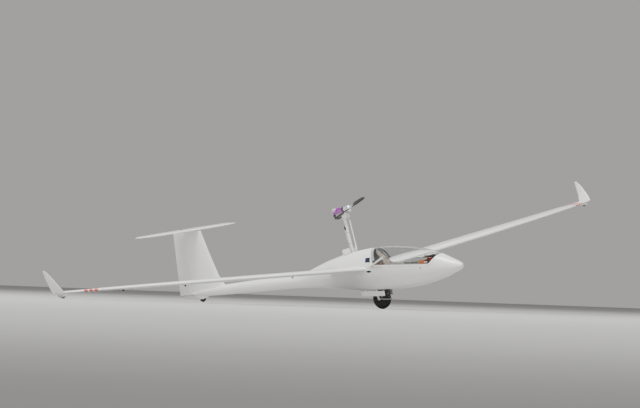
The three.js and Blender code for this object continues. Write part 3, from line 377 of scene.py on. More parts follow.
def skin_at(node, place, towards):
    """Where a line from a place meets a CAD node's skin, and the skin's normal, both level."""
    start = AIRFRAME @ (Vector(place) * MM)
    hit, point, normal, _ = frame["nodes"][node].ray_cast(start, TURN @ Vector(towards))
    if not hit:
        raise RuntimeError(f"no skin of {node} at {tuple(place)}")
    return AIRFRAME.inverted() @ point / MM, TURN.transposed() @ normal


def both_sides(piece, name, body, finish):
    """A starboard piece and its mirror image to port; {} in the names stands for the hand."""
    port = copied(piece, name.format("left"), MIRROR)
    bpy.ops.object.transform_apply(location=True, rotation=True, scale=True)
    face_outward()
    piece.name = name.format("right")
    settle(port, body.format("left"), finish)
    settle(piece, body.format("right"), finish)


# Helpers for materials

def start_group(name, inputs, outputs):
    group = bpy.data.node_groups.new(name, "ShaderNodeTree")
    for label, kind, default in inputs:
        socket = group.interface.new_socket(label, in_out="INPUT", socket_type=kind)
        if default is not None:
            socket.default_value = default
    for label, kind in outputs:
        group.interface.new_socket(label, in_out="OUTPUT", socket_type=kind)
    return group, group.nodes.new("NodeGroupInput"), group.nodes.new("NodeGroupOutput")


def add_node(tree, kind, **settings):
    node = tree.nodes.new(kind)
    for key, value in settings.items():
        if hasattr(node, key):
            setattr(node, key, value)
        else:
            node.inputs[key.replace("_", " ").title()].default_value = value
    return node


def maths(tree, operation, first, second):
    node = tree.nodes.new("ShaderNodeMath")
    node.operation = operation
    for socket, value in zip(node.inputs, (first, second)):
        if isinstance(value, (int, float)):
            socket.default_value = value
        else:
            tree.links.new(value, socket)
    return node.outputs[0]


def link(tree, start, *ends):
    for end in ends:
        tree.links.new(start, end)


def finish_group():
    """Slow and fine variation of a finish: its colour, roughness and a height for bump."""
    group, enter, leave = start_group("Finish", [
        ("Vector", "NodeSocketVector", None),
        ("Colour", "NodeSocketColor", (0.8, 0.8, 0.8, 1)),
        ("Roughness", "NodeSocketFloat", 0.4),
        *((name, "NodeSocketFloat", 0.0) for name in VARIATION),
    ], [
        ("Colour", "NodeSocketColor"),
        ("Roughness", "NodeSocketFloat"),
        ("Height", "NodeSocketFloat"),
    ])
    slow = add_node(group, "ShaderNodeTexNoise", detail=4.0)
    fine = add_node(group, "ShaderNodeTexNoise", detail=3.0)
    link(group, enter.outputs["Vector"], slow.inputs["Vector"], fine.inputs["Vector"])
    link(group, enter.outputs["Tone Scale"], slow.inputs["Scale"])
    link(group, enter.outputs["Grain Scale"], fine.inputs["Scale"])
    swing = maths(group, "SUBTRACT", slow.outputs["Fac"], 0.5)
    swing = maths(group, "MULTIPLY", swing, 2.0)
    shade = maths(group, "MULTIPLY", swing, enter.outputs["Tone"])
    mix = add_node(group, "ShaderNodeVectorMath", operation="SCALE")
    link(group, enter.outputs["Colour"], mix.inputs[0])
    link(group, maths(group, "ADD", shade, 1.0), mix.inputs["Scale"])
    link(group, mix.outputs[0], leave.inputs["Colour"])
    grain = maths(group, "SUBTRACT", fine.outputs["Fac"], 0.5)
    grain = maths(group, "MULTIPLY", grain, enter.outputs["Grain"])
    rough = maths(group, "ADD", enter.outputs["Roughness"], grain)
    worn = maths(group, "MULTIPLY", swing, WEAR)
    link(group, maths(group, "ADD", rough, worn), leave.inputs["Roughness"])
    link(group, fine.outputs["Fac"], leave.inputs["Height"])
    return group


def start_material(name, metallic=0.0, coat=0.0):
    material = bpy.data.materials.new(name)
    material.use_nodes = True
    shader = material.node_tree.nodes["Principled BSDF"]
    shader.inputs["Metallic"].default_value = metallic
    shader.inputs["Coat Weight"].default_value = coat
    shader.inputs["Coat Roughness"].default_value = COAT_ROUGHNESS
    FINISHES[name] = material
    return material.node_tree, shader


def add_finish(tree, shader, colour, roughness, tone, tone_scale, grain, grain_scale, bump):
    """Joins the Finish group to a material's shader and returns the group's colour."""
    place = tree.nodes.new("ShaderNodeTexCoord")
    finish = tree.nodes.new("ShaderNodeGroup")
    finish.node_tree = bpy.data.node_groups.get("Finish") or finish_group()
    finish.inputs["Colour"].default_value = (*colour, 1)
    finish.inputs["Roughness"].default_value = roughness
    for label, value in zip(VARIATION, (tone, tone_scale, grain, grain_scale)):
        finish.inputs[label].default_value = value
    link(tree, place.outputs["Object"], finish.inputs["Vector"])
    link(tree, finish.outputs["Colour"], shader.inputs["Base Color"])
    link(tree, finish.outputs["Roughness"], shader.inputs["Roughness"])
    if bump:
        relief = add_node(tree, "ShaderNodeBump", strength=bump, distance=BUMP_DEPTH)
        link(tree, finish.outputs["Height"], relief.inputs["Height"])
        link(tree, relief.outputs["Normal"], shader.inputs["Normal"])
    return finish.outputs["Colour"]


def level_place(tree):
    """Object coordinates turned into the airframe's own axes, in metres."""
    place = tree.nodes.new("ShaderNodeTexCoord")
    turn = tree.nodes.new("ShaderNodeMapping")
    turn.vector_type = "TEXTURE"
    turn.inputs["Location"].default_value = AIRFRAME.to_translation()
    turn.inputs["Rotation"].default_value = AIRFRAME.to_euler()
    link(tree, place.outputs["Object"], turn.inputs["Vector"])
    split = tree.nodes.new("ShaderNodeSeparateXYZ")
    link(tree, turn.outputs["Vector"], split.inputs["Vector"])
    return split.outputs


def inside(tree, value, low, high):
    """A mask that is 1 where the value lies between two millimetre marks."""
    above = maths(tree, "GREATER_THAN", value, low * MM)
    below = maths(tree, "LESS_THAN", value, high * MM)
    return maths(tree, "MULTIPLY", above, below)


def painted_over(tree, base, mask, colour):
    mix = tree.nodes.new("ShaderNodeMix")
    mix.data_type = "RGBA"
    link(tree, mask, mix.inputs["Factor"])
    link(tree, base, mix.inputs["A"])
    mix.inputs["B"].default_value = (*colour, 1)
    return mix.outputs["Result"]


def paint(tree, shader, base, mask, colour):
    link(tree, painted_over(tree, base, mask, colour), shader.inputs["Base Color"])


# What the Finish group varies besides colour and roughness, and how strong wear and bump are
VARIATION = ("Tone", "Tone Scale", "Grain", "Grain Scale")
WEAR = 0.06
COAT_ROUGHNESS = 0.06
BUMP_DEPTH = 0.0002
# Stripes run slantwise over each wing near its tip; their marks lie along the leading edge
STRIPES = [(2250, 2280), (2290, 2320), (2330, 2360)]
STRIPE_EDGE_X = -121
STRIPE_SLANT = 1.06
# The plain patch on the starboard side
PATCH_X = (-8, 28)
PATCH_Z = (38, 65)
PATCH_SIDE = (-100, -40)


def gelcoat_material(settings):
    tree, shader = start_material("gelcoat", coat=0.6)
    colour = add_finish(tree, shader, settings.gelcoat, 0.3, 0.012, 3.0, 0.05, 500.0, 0.02)
    x, y, z = level_place(tree)
    aft = maths(tree, "MULTIPLY", maths(tree, "SUBTRACT", STRIPE_EDGE_X * MM, x), STRIPE_SLANT)
    slant = maths(tree, "ADD", maths(tree, "ABSOLUTE", y, 0), aft)
    for low, high in STRIPES:
        colour = painted_over(tree, colour, inside(tree, slant, low, high), settings.stripe)
    patch = maths(tree, "MULTIPLY", inside(tree, x, *PATCH_X), inside(tree, z, *PATCH_Z))
    patch = maths(tree, "MULTIPLY", patch, inside(tree, y, *PATCH_SIDE))
    paint(tree, shader, colour, patch, settings.patch)


def canopy_material(settings):
    tree, shader = start_material("canopy_clear", coat=0.35)
    add_finish(tree, shader, settings.canopy_tint, 0.03, 0.01, 4.0, 0.02, 60.0, 0)
    shader.inputs["Transmission Weight"].default_value = 1.0
    shader.inputs["IOR"].default_value = 1.04


# Plain finishes: colour, roughness, metallic, coat, tone, tone scale, grain, grain scale, bump
PLAIN_FINISHES = {
    "seat_laminate": ((0.36, 0.31, 0.25), 0.6, 0, 0, 0.08, 14, 0.15, 700, 0.25),
    "grey_laminate": ((0.3, 0.3, 0.29), 0.5, 0, 0, 0.06, 12, 0.12, 800, 0.15),
    "former_grey": ((0.42, 0.43, 0.42), 0.6, 0, 0, 0.1, 15, 0.15, 500, 0.2),
    "hoop_grey": ((0.6, 0.58, 0.59), 0.5, 0, 0, 0.05, 20, 0.12, 600, 0.15),
    "shrink_wrap": ((0.78, 0.2, 0.05), 0.3, 0, 0.3, 0.05, 30, 0.08, 250, 0.15),
    "well_laminate": ((0.03, 0.03, 0.028), 0.55, 0, 0, 0.15, 20, 0.15, 600, 0.2),
    "leg_enamel": ((0.018, 0.018, 0.017), 0.35, 0, 0.3, 0.15, 25, 0.1, 900, 0.1),
    # A brighter copy of the gelcoat: painted highlight on the doors and the tail's cable fairings
    "painted_highlight_gelcoat": ((0.94, 0.935, 0.91), 0.3, 0, 0.6, 0.012, 3, 0.05, 500, 0.02),
    "fork_alloy": ((0.42, 0.42, 0.42), 0.42, 0.7, 0, 0.06, 40, 0.12, 1400, 0.06),
    "polished_alloy": ((0.86, 0.86, 0.87), 0.2, 0.75, 0, 0.03, 40, 0.08, 1600, 0.03),
    "strut_enamel": ((0.66, 0.63, 0.54), 0.4, 0, 0.2, 0.04, 30, 0.1, 800, 0.1),
    "hub_plastic": ((0.02, 0.02, 0.019), 0.42, 0, 0, 0.15, 30, 0.1, 900, 0.15),
    "base_alloy": ((0.35, 0.35, 0.35), 0.4, 1, 0, 0.06, 40, 0.12, 1200, 0.08),
    "mast_paint": ((0.88, 0.86, 0.8), 0.32, 0, 0.3, 0.03, 20, 0.08, 700, 0.05),
    "end_cap_alloy": ((0.8, 0.8, 0.78), 0.32, 0.6, 0, 0.04, 60, 0.1, 1500, 0.05),
    "collar_enamel": ((0.02, 0.02, 0.02), 0.35, 0, 0.2, 0.1, 60, 0.1, 1200, 0.1),
    "lead_insulation": ((0.012, 0.012, 0.012), 0.5, 0, 0, 0.1, 60, 0.1, 1200, 0.1),
    "tyre_rubber": ((0.015, 0.015, 0.014), 0.75, 0, 0, 0.25, 30, 0.15, 1100, 0.35),
    "bolt_steel": ((0.55, 0.55, 0.54), 0.32, 1, 0, 0.06, 90, 0.12, 1600, 0.08),
    "cable_cream": ((0.82, 0.79, 0.7), 0.5, 0, 0, 0.06, 60, 0.1, 900, 0.1),
    "tie_nylon": ((0.05, 0.05, 0.05), 0.45, 0, 0, 0.1, 60, 0.1, 900, 0.1),
    "seat_piping": ((0.42, 0.35, 0.36), 0.65, 0, 0, 0.08, 30, 0.12, 900, 0.3),
    "brick_leather": ((0.2, 0.06, 0.045), 0.6, 0, 0, 0.12, 40, 0.15, 500, 0.5),
    "bezel_black": ((0.02, 0.02, 0.02), 0.35, 0, 0, 0.08, 60, 0.1, 1200, 0.1),
    "dial_white": ((0.75, 0.74, 0.7), 0.45, 0, 0, 0.04, 60, 0.08, 900, 0.05),
    "lead_red": ((0.45, 0.03, 0.02), 0.45, 0, 0, 0.08, 60, 0.1, 1000, 0.1),
    # Near-black vents: painted shadow beneath the wing roots' leading edges, on ovals drawn as vents
    "vent_painted_shadow": ((0.01, 0.01, 0.01), 0.7, 0, 0, 0.2, 60, 0.1, 900, 0.2),
}
HOOD_WHITE = (0.8, 0.77, 0.72)
HOOD_DARK = (0.12, 0.115, 0.1)
HOOD_UNDERSIDE_Z = 44.5
VIOLET_METALLIC = 0.7
# A pale round disc with a dark dot, without print, on the can: a painted highlight drawn as a sticker; how far
# behind the spinner, its angle, its radii
STICKER_HIGHLIGHT_AT = -92
STICKER_HIGHLIGHT_ANGLE = -1.05
STICKER_HIGHLIGHT_RADIUS = 10.5
STICKER_HIGHLIGHT_DOT = 4
# Colours of the painted highlight: its pale disc and its dark dot
STICKER_HIGHLIGHT_WHITE = (0.85, 0.83, 0.76)
STICKER_HIGHLIGHT_DARK = (0.08, 0.06, 0.08)
PLY_LIGHT, PLY_DARK = (0.58, 0.42, 0.24), (0.36, 0.23, 0.11)
WEAVE_DARK, WEAVE_LIGHT = (0.02, 0.02, 0.021), (0.06, 0.06, 0.063)


def hood_material():
    """Pale leatherette on top of the panel's hood, dark below the height of the hood's underside."""
    tree, shader = start_material("hood_leatherette")
    colour = add_finish(tree, shader, HOOD_WHITE, 0.55, 0.05, 20.0, 0.15, 500.0, 0.3)
    below = maths(tree, "LESS_THAN", level_place(tree)[2], HOOD_UNDERSIDE_Z * MM)
    paint(tree, shader, colour, below, HOOD_DARK)


def violet_material(settings):
    """Bright anodising with a painted highlight on it: a pale disc with a dark dot, drawn as a plain round
    sticker.
    """
    tree, shader = start_material("violet_anodising")
    colour = add_finish(tree, shader, settings.can, 0.25, 0.04, 40.0, 0.1, 1500.0, 0.04)
    centre = on_motor(STICKER_HIGHLIGHT_AT, MOTOR_RADIUS, STICKER_HIGHLIGHT_ANGLE)
    reach = 0.0
    for value, middle in zip(level_place(tree), centre):
        off = maths(tree, "SUBTRACT", value, middle * MM)
        reach = maths(tree, "ADD", maths(tree, "MULTIPLY", off, off), reach)
    reach = maths(tree, "SQRT", reach, 0)
    # The pale disc and its dark dot are a painted highlight on the can
    disc = maths(tree, "LESS_THAN", reach, STICKER_HIGHLIGHT_RADIUS * MM)
    dot = maths(tree, "LESS_THAN", reach, STICKER_HIGHLIGHT_DOT * MM)
    paint(tree, shader, painted_over(tree, colour, disc, STICKER_HIGHLIGHT_WHITE), dot, STICKER_HIGHLIGHT_DARK)
    bare = maths(tree, "SUBTRACT", 1.0, disc)
    link(tree, maths(tree, "MULTIPLY", bare, VIOLET_METALLIC), shader.inputs["Metallic"])


def plywood_material():
    """Bare birch ply with its grain running up the bulkhead."""
    tree, shader = start_material("plywood")
    colour = add_finish(tree, shader, PLY_LIGHT, 0.62, 0.1, 10.0, 0.15, 900.0, 0.2)
    _, y, z = level_place(tree)
    wave = add_node(tree, "ShaderNodeTexWave", scale=60.0, distortion=6.0, detail=3.0)
    join = tree.nodes.new("ShaderNodeCombineXYZ")
    link(tree, y, join.inputs["X"])
    link(tree, maths(tree, "MULTIPLY", z, 0.08), join.inputs["Y"])
    link(tree, join.outputs[0], wave.inputs["Vector"])
    mask = maths(tree, "MULTIPLY", wave.outputs["Fac"], 0.35)
    paint(tree, shader, colour, mask, PLY_DARK)


def laminate_material():
    """Black woven laminate under clear resin."""
    tree, shader = start_material("blade_laminate", coat=0.8)
    colour = add_finish(tree, shader, WEAVE_DARK, 0.35, 0.1, 30.0, 0.08, 900.0, 0.05)
    place = tree.nodes.new("ShaderNodeTexCoord")
    weave = add_node(tree, "ShaderNodeTexChecker", scale=700.0)
    link(tree, place.outputs["Object"], weave.inputs["Vector"])
    mask = maths(tree, "MULTIPLY", weave.outputs["Fac"], 0.5)
    paint(tree, shader, colour, mask, WEAVE_LIGHT)


class SAILPLANE_OT_finishes(bpy.types.Operator):
    """Makes every finish and gives each CAD node its own"""
    bl_idname = "sailplane.finishes"
    bl_label = "Finishes"

    def execute(self, context):
        settings = context.scene.sailplane_finishes
        gelcoat_material(settings)
        canopy_material(settings)
        violet_material(settings)
        hood_material()
        plywood_material()
        laminate_material()
        for name, (colour, rough, metallic, coat, *variation) in PLAIN_FINISHES.items():
            add_finish(*start_material(name, metallic, coat), colour, rough, *variation)
        for finish, nodes in CAD_FINISHES.items():
            for node in nodes:
                dress_node(frame["nodes"][node], FINISHES[finish])
        return {"FINISHED"}


def dress_node(obj, material):
    """A CAD node's finish, and smooth shading across its small facets."""
    activate(obj)
    bpy.ops.mesh.customdata_custom_splitnormals_clear()
    bpy.ops.object.shade_smooth()
    obj.data.materials.clear()
    obj.data.materials.append(material)
    weld = obj.modifiers.new("weld", "WELD")
    weld.merge_threshold = WELD_DISTANCE
    split = obj.modifiers.new("corners", "EDGE_SPLIT")
    split.split_angle = SMOOTH_ANGLE


FLOOR_RADIUS = 60
# Lights: where each stands, how high it aims over the middle of the floor, its size, all in metres
KEY_LIGHT = ((1.5, -4, 12), 0.3, 7)
FILL_LIGHT = ((9, -13, 8), 0.4, 8)
RIM_LIGHT = ((-8, 9, 8), 0.4, 7)
RIM_POWER = 150
SKY_COLOUR = (1.0, 0.98, 0.95)
SKY_STRENGTH = 0.42


class SAILPLANE_OT_stage(bpy.types.Operator):
    """Sets the floor, the lights, the studio's even light and the camera"""
    bl_idname = "sailplane.stage"
    bl_label = "Stage"

    def execute(self, context):
        settings = context.scene.sailplane_stage
        tree, shader = start_material("stage_paper")
        add_finish(tree, shader, settings.floor, 0.85, 0.01, 2.0, 0.02, 300.0, 0)
        place_floor(FINISHES["stage_paper"])
        place_light("key_light", *KEY_LIGHT, settings.key_power)
        place_light("fill_light", *FILL_LIGHT, settings.fill_power)
        place_light("rim_light", *RIM_LIGHT, RIM_POWER)
        world = bpy.data.worlds.new("studio")
        world.use_nodes = True
        backdrop = world.node_tree.nodes["Background"]
        backdrop.inputs["Color"].default_value = (*SKY_COLOUR, 1)
        backdrop.inputs["Strength"].default_value = SKY_STRENGTH
        context.scene.world = world
        place_camera(context.scene)
        return {"FINISHED"}


def place_floor(material):
    """One wide pale floor; the studio's pale light is seen beyond its edge."""
    floor = begun("studio_floor", bpy.ops.mesh.primitive_circle_add, vertices=96,
                  radius=FLOOR_RADIUS, fill_type="NGON")
    floor.data.materials.append(material)


def place_light(name, place, aim_height, size, power):
    deselect()
    bpy.ops.object.light_add(type="AREA", location=place)
    light = bpy.context.object
    light.name = name
    light.data.shape = "DISK"
    light.data.size = size
    light.data.energy = power
    aim = Vector((0, 0, aim_height)) - Vector(place)
    light.rotation_euler = aim.to_track_quat("-Z", "Y").to_euler()


def place_camera(scene):
    bpy.ops.object.camera_add()
    camera = bpy.context.object
    camera.name = "photo_camera"
    right = TURN @ CAMERA_RIGHT.normalized()
    up = TURN @ CAMERA_UP.normalized()
    back = right.cross(up).normalized()
    up = back.cross(right)
    turn = Matrix((right, up, back)).transposed()
    camera.matrix_world = Matrix.Translation(AIRFRAME @ CAMERA_AT) @ turn.to_4x4()
    camera.data.sensor_width = 36
    camera.data.lens = FOCAL_PIXELS / IMAGE_WIDTH * camera.data.sensor_width
    camera.data.clip_start = 0.1
    camera.data.clip_end = 200
    scene.camera = camera


def tyre_profile(radius, width, hub_radius, grooves):
    """Half of a tyre's section from bead to crown, with its grooves, mirrored to a closed loop."""
    half = width / 2
    wall = [
        (hub_radius, 0.72), (hub_radius + 0.07 * radius, 0.8), (radius * 0.66, 0.95),
        (radius * 0.7, 0.985), (radius * 0.74, 0.965), (radius * 0.8, 1.0),
        (radius - half * 0.6, 0.9), (radius - half * 0.42, 0.78), (radius - half * 0.26, 0.62),
    ]
    wall = [(r, share * half) for r, share in wall]
    tread = []
    for place, depth in grooves:
        crown = radius - half * 0.3 * (place / (0.62 * half)) ** 2 * 0.85
        tread += [(crown, place + depth * 0.5), (crown - depth, place + depth * 0.3),
                  (crown - depth, place - depth * 0.3), (crown, place - depth * 0.5)]
    side = wall + tread + [(radius, 0.3)]
    return side + [(r, -along) for r, along in reversed(side)]


def make_tyre(body, node, centre, radius, width, hub_radius, grooves, steps):
    profile = tyre_profile(radius, width, hub_radius, grooves)
    tyre = spun(f"{body}_tyre", centre, ACROSS, profile, steps)
    settle(tyre, body, "tyre_rubber")
    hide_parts(node)


HUB_SPOKES = 5
SPOKE_SIDES = 8
TURN_TO_AXLE = Vector(ACROSS).to_track_quat("Z", "Y").to_matrix()


def mirror_hub(hub):
    """Gives a hub's inner half the shape of its outer half."""
    apply_modifier(hub, "MIRROR", use_axis=(False, False, True),
                   use_bisect_axis=(False, False, True))


def make_hub(body, node, centre, hub_radius, width, bore_radius):
    """A moulded hub: its rim, a pocket between each two spokes, and a boss with its bore."""
    half = width * 0.35
    web = half - hub_radius * 0.1
    boss = half + hub_radius * 0.06
    hub = turned(f"{body}_hub", centre, ACROSS, [
        (-half, hub_radius - 0.3), (half, hub_radius - 0.3), (half, hub_radius * 0.88),
        (web, hub_radius * 0.82), (web, hub_radius * 0.36), (boss, hub_radius * 0.3),
        (boss, bore_radius)], HUB_SPOKES * SPOKE_SIDES)
    sector = 2 * math.pi / HUB_SPOKES

    def in_pocket(face):
        flat = abs(face.center.z - web * MM) < 0.0001 and face.normal.z > 0.9
        angle = math.atan2(face.center.y, face.center.x) % sector
        return flat and 0.2 < angle / sector < 0.8

    pick_faces(hub, in_pocket)
    bpy.ops.mesh.inset(thickness=hub_radius * 0.04 * MM, use_boundary=True)
    bpy.ops.mesh.extrude_region_move(TRANSFORM_OT_translate={"value": (0, 0, 0)})
    bpy.ops.transform.translate(value=TURN_TO_AXLE @ Vector((0, 0, -hub_radius * 0.16 * MM)))
    bpy.ops.object.mode_set(mode="OBJECT")
    apply_modifier(hub, "BEVEL", width=0.25 * MM, segments=2, limit_method="ANGLE",
                   angle_limit=50 * DEG)
    mirror_hub(hub)
    settle(hub, body, "hub_plastic")
    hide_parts(node)


def tip_hub(body, centre):
    """A dished disc with a boss, the same on both faces."""
    hub = turned(f"{body}_hub", centre, ACROSS, [
        (-2.2, 8.1), (2.2, 8.1), (2.2, 7.3), (1.3, 6.8), (1.3, 3.4), (2.6, 3), (2.6, 1.8)], 40)
    mirror_hub(hub)
    settle(hub, body, "hub_plastic")


def hex_bolt(name, start, direction, radius, height):
    """A hexagon nut on a washer, with the rounded end of its bolt."""
    washer = turned(name + "_washer", start, direction, [
        (0, radius * 1.25), (height * 0.2, radius * 1.25), (height * 0.22, radius * 1.15)], 20)
    nut = turned(name + "_nut", start, direction, [
        (height * 0.2, radius), (height * 0.8, radius), (height, radius * 0.86)], 6)
    tip = turned(name + "_tip", start, direction, [
        (height * 0.9, radius * 0.5), (height * 1.3, radius * 0.5),
        (height * 1.4, radius * 0.38)], 16)
    return joined(name, [washer, nut, tip])


def socket_screw(name, start, direction, radius, height):
    """A cap screw's head with a round socket sunk into its face."""
    return turned(name, start, direction, [
        (-0.4, radius), (height * 0.85, radius), (height, radius * 0.86),
        (height, radius * 0.5), (height * 0.4, radius * 0.45)], 18)


class SAILPLANE_OT_wheels(bpy.types.Operator):
    """Tyres with their grooves and moulded hubs"""
    bl_idname = "sailplane.wheels"
    bl_label = "Wheels"

    def execute(self, context):
        sizes = context.scene.sailplane_sizes
        make_tyre("main_wheel", "main_tyre", MAIN_WHEEL, sizes.main_tyre / MM, 36, 30,
                  [(8, 2.2), (3, 2.2)], 72)
        make_tyre("tail_wheel", "tail_tyre", TAIL_WHEEL, sizes.tail_tyre / MM, 13, 13,
                  [(2.2, 1)], 56)
        make_hub("main_wheel", "main_hub", MAIN_WHEEL, 30, 36, 4.3)
        make_hub("tail_wheel", "tail_hub", TAIL_WHEEL, 13, 13, 2.3)
        x, y, z = TIP_WHEEL
        for side, hand in HANDS:
            body = f"{hand}_tip_wheel"
            make_tyre(body, body, (x, side * y, z), sizes.tip_tyre / MM, 6.9, 8.2, [], 40)
            tip_hub(body, (x, side * y, z))
        return {"FINISHED"}


LEG_SIDE = -31
DOOR_HINGE = (37.6, -122.5)


class SAILPLANE_OT_main_gear(bpy.types.Operator):
    """Nuts, the spring, door hinges and stiffeners of the main wheel's leg"""
    bl_idname = "sailplane.main_gear"
    bl_label = "Main gear fittings"

    def execute(self, context):
        x, _, z = MAIN_WHEEL
        hinge_y, hinge_z = DOOR_HINGE
        for side, hand in HANDS:
            nut = hex_bolt(f"{hand}_axle_nut", (x, side * 33, z), (0, side, 0), 4.2, 4)
            settle(nut, *STEEL)
            for start_x, label in ((-68, "rear"), (14, "front")):
                settle(rod(f"{hand}_gear_door_{label}_hinge", (start_x, side * hinge_y, hinge_z),
                           ALONG, 12, 2, 0.3, 0.4, 20), *STEEL)
            outline = [(-80, -133), (60, -136), (62, -140), (-78, -137)]
            rib = plate(f"{hand}_gear_door_stiffener", outline, side * 35.2, side * 36.7, 0.5)
            settle(rib, "airframe", "gelcoat")
        for name, at_x, at_z, radius, height in (
                ("arm_pivot_nut", 104.5, -181, 3.2, 3), ("leg_bolt_1", 66, -122, 2.2, 2),
                ("leg_bolt_2", 98, -122, 2.2, 2), ("leg_bolt_3", 92, -148, 2.2, 2)):
            settle(hex_bolt(name, (at_x, LEG_SIDE, at_z), (0, -1, 0), radius, height), *STEEL)
        settle(leg_spring((60, -27, -120), (42, -27, -168)), *STEEL)
        return {"FINISHED"}


SPRING_TURNS = 9
SPRING_STEPS = 8
SPRING_RADIUS = 3.6


def leg_spring(top, foot):
    """A coil spring on a rod from the leg's head to the axle."""
    top, foot = Vector(top), Vector(foot)
    along = foot - top
    across = along.normalized().cross(Vector(ACROSS))
    points = []
    for step in range(SPRING_TURNS * SPRING_STEPS + 1):
        angle = step / SPRING_STEPS * 2 * math.pi
        out = across * math.cos(angle) + Vector(ACROSS) * math.sin(angle)
        share = 0.15 + 0.7 * step / (SPRING_TURNS * SPRING_STEPS)
        points.append(top + along * share + out * SPRING_RADIUS)
    coil = wire("leg_spring_coil", points, 0.7, 2, 2)
    pin = turned("leg_spring_rod", top, along, [
        (0, 2.6), (6, 2.6), (6.5, 1.6), (along.length - 6.5, 1.6),
        (along.length - 6, 2.6), (along.length, 2.6)], 20)
    return joined("leg_spring", [coil, pin])


# Motor mast: the same pins as the solids
MAST_FOOT = Vector((-136.4, 0, 40))
MAST_HEAD = Vector((-175.8, 0, 292))
MAST_ALONG = MAST_HEAD - MAST_FOOT
MAST_AFT = Vector((-MAST_ALONG.z, 0, MAST_ALONG.x)).normalized()
MAST_RADIUS = 7.4
LINK_OFFSET = Vector((27.5, 0, 27.6))
FOOT_PLATE = 14.5
HEAD_PLATE = 11.1
SPINNER_CENTRE = Vector((-142, 0, 349))
MOTOR_RADIUS = 17.5
RING_STEP = 0.6
SLOT_DEPTH = 0.4
MOTOR_TILT = 5.5 * DEG
PROPELLER_REST = 16 * DEG
MOTOR_AXIS = Vector((math.cos(MOTOR_TILT), 0, math.sin(MOTOR_TILT)))
MOTOR_SIDE = Vector(ACROSS)
MOTOR_TOP = MOTOR_AXIS.cross(MOTOR_SIDE)
BLADE_SIDE = MOTOR_SIDE * math.cos(PROPELLER_REST) + MOTOR_TOP * math.sin(PROPELLER_REST)
BLADE_TOP = MOTOR_AXIS.cross(BLADE_SIDE)
# The leads on the mast, by shares of its length, and how far the strands wind off their middle
LEAD_FROM, LEAD_TO = 0.06, 0.77
LEAD_TURNS = 9
LEAD_STEPS = 6
LEAD_WIND = 1.9
PLUG_AT = 0.75


def on_motor(distance, out=0.0, angle=0.0):
    """A point beside the motor's axis; the angle is measured from the top towards port."""
    turn = MOTOR_TOP * math.cos(angle) + MOTOR_SIDE * math.sin(angle)
    return SPINNER_CENTRE + MOTOR_AXIS * distance + turn * out


def on_mast(share, aft=0.0):
    return MAST_FOOT + MAST_ALONG * share + MAST_AFT * aft


def lead_offset(share):
    """How far aft of the mast's axis the leads' middle lies: they leave the tube near its head."""
    return 10.6 + 6 * max(0.0, share - 0.3) ** 1.5 / 0.36


def twisted_leads(number):
    """One of the two strands that wind round each other up the mast."""
    points = []
    for step in range(LEAD_TURNS * LEAD_STEPS + 1):
        share = LEAD_FROM + (LEAD_TO - LEAD_FROM) * step / (LEAD_TURNS * LEAD_STEPS)
        angle = step / LEAD_STEPS * 2 * math.pi + number * math.pi
        points.append(on_mast(share, lead_offset(share) + LEAD_WIND * math.cos(angle))
                      + MOTOR_SIDE * LEAD_WIND * math.sin(angle))
    return points


def tie_band(name, centre, reach, side):
    """A cable tie round the mast and its leads, with the tie's small head."""
    points = [centre + MAST_AFT * reach * math.cos(angle) + MOTOR_SIDE * side * math.sin(angle)
              for angle in around(24)]
    band = wire(name + "_band", points + points[:1], 0.75, 2, 2)
    corner = Vector((1.6, 0, 1.4))
    head = block(name + "_head", centre - MOTOR_SIDE * (side + 2.2) - corner,
                 centre - MOTOR_SIDE * (side - 0.4) + corner, 0.4)
    return joined(name, [band, head])


class SAILPLANE_OT_mast(bpy.types.Operator):
    """Leads, ties, pivot bolts and end fittings of the motor's mast"""
    bl_idname = "sailplane.mast"
    bl_label = "Mast fittings"

    def execute(self, context):
        radius = context.scene.sailplane_sizes.mast_cable / MM
        for number in range(2):
            strand = wire(f"mast_cable_{number + 1}", twisted_leads(number), radius, 3, 3)
            settle(strand, "mast", "cable_cream")
        plug = turned("mast_lead_plug", on_mast(PLUG_AT, lead_offset(PLUG_AT)), MAST_ALONG,
                      [(0, 2.4), (1, 3.6), (20, 3.6), (21.5, 2.4)], 24)
        settle(plug, "mast", "hub_plastic")
        for number, share in enumerate((0.2, 0.44, 0.68)):
            reach = (MAST_RADIUS + lead_offset(share) + 2 * radius) / 2
            band = tie_band(f"mast_tie_{number + 1}", on_mast(share, reach - MAST_RADIUS), reach,
                            MAST_RADIUS + 0.7)
            settle(band, "mast", "tie_nylon")
        ferrule = turned("mast_ferrule", on_mast(0.075), MAST_ALONG, [
            (0, MAST_RADIUS), (1, MAST_RADIUS + 0.8), (15, MAST_RADIUS + 0.8),
            (17, MAST_RADIUS)], 40)
        settle(ferrule, "mast", "mast_paint")
        for end, place, body, plate_y in (("foot", MAST_FOOT, "airframe", FOOT_PLATE),
                                          ("head", MAST_HEAD, "motor_head", HEAD_PLATE)):
            for label, centre in (("mast", place), ("link", place + LINK_OFFSET)):
                for side, hand in HANDS:
                    nut = hex_bolt(f"{label}_{end}_{hand}_nut",
                                   centre + MOTOR_SIDE * side * plate_y, (0, side, 0), 3.4, 2.6)
                    settle(nut, body, "bolt_steel")
        for number, share in enumerate((0.12, 0.86)):
            sleeve = rod(f"link_rod_sleeve_{number + 1}", on_mast(share) + LINK_OFFSET,
                         MAST_ALONG, 9.8, 4.3, 0.8, 0.9, 28)
            settle(sleeve, "link_rod", "bolt_steel", "white_paint")
        return {"FINISHED"}


# Distances along the motor's axis from the spinner's centre
CAN_FRONT, CAN_BACK = -44, -105
COLLAR_SCREWS = -33.4
BLADE_PINS = 10


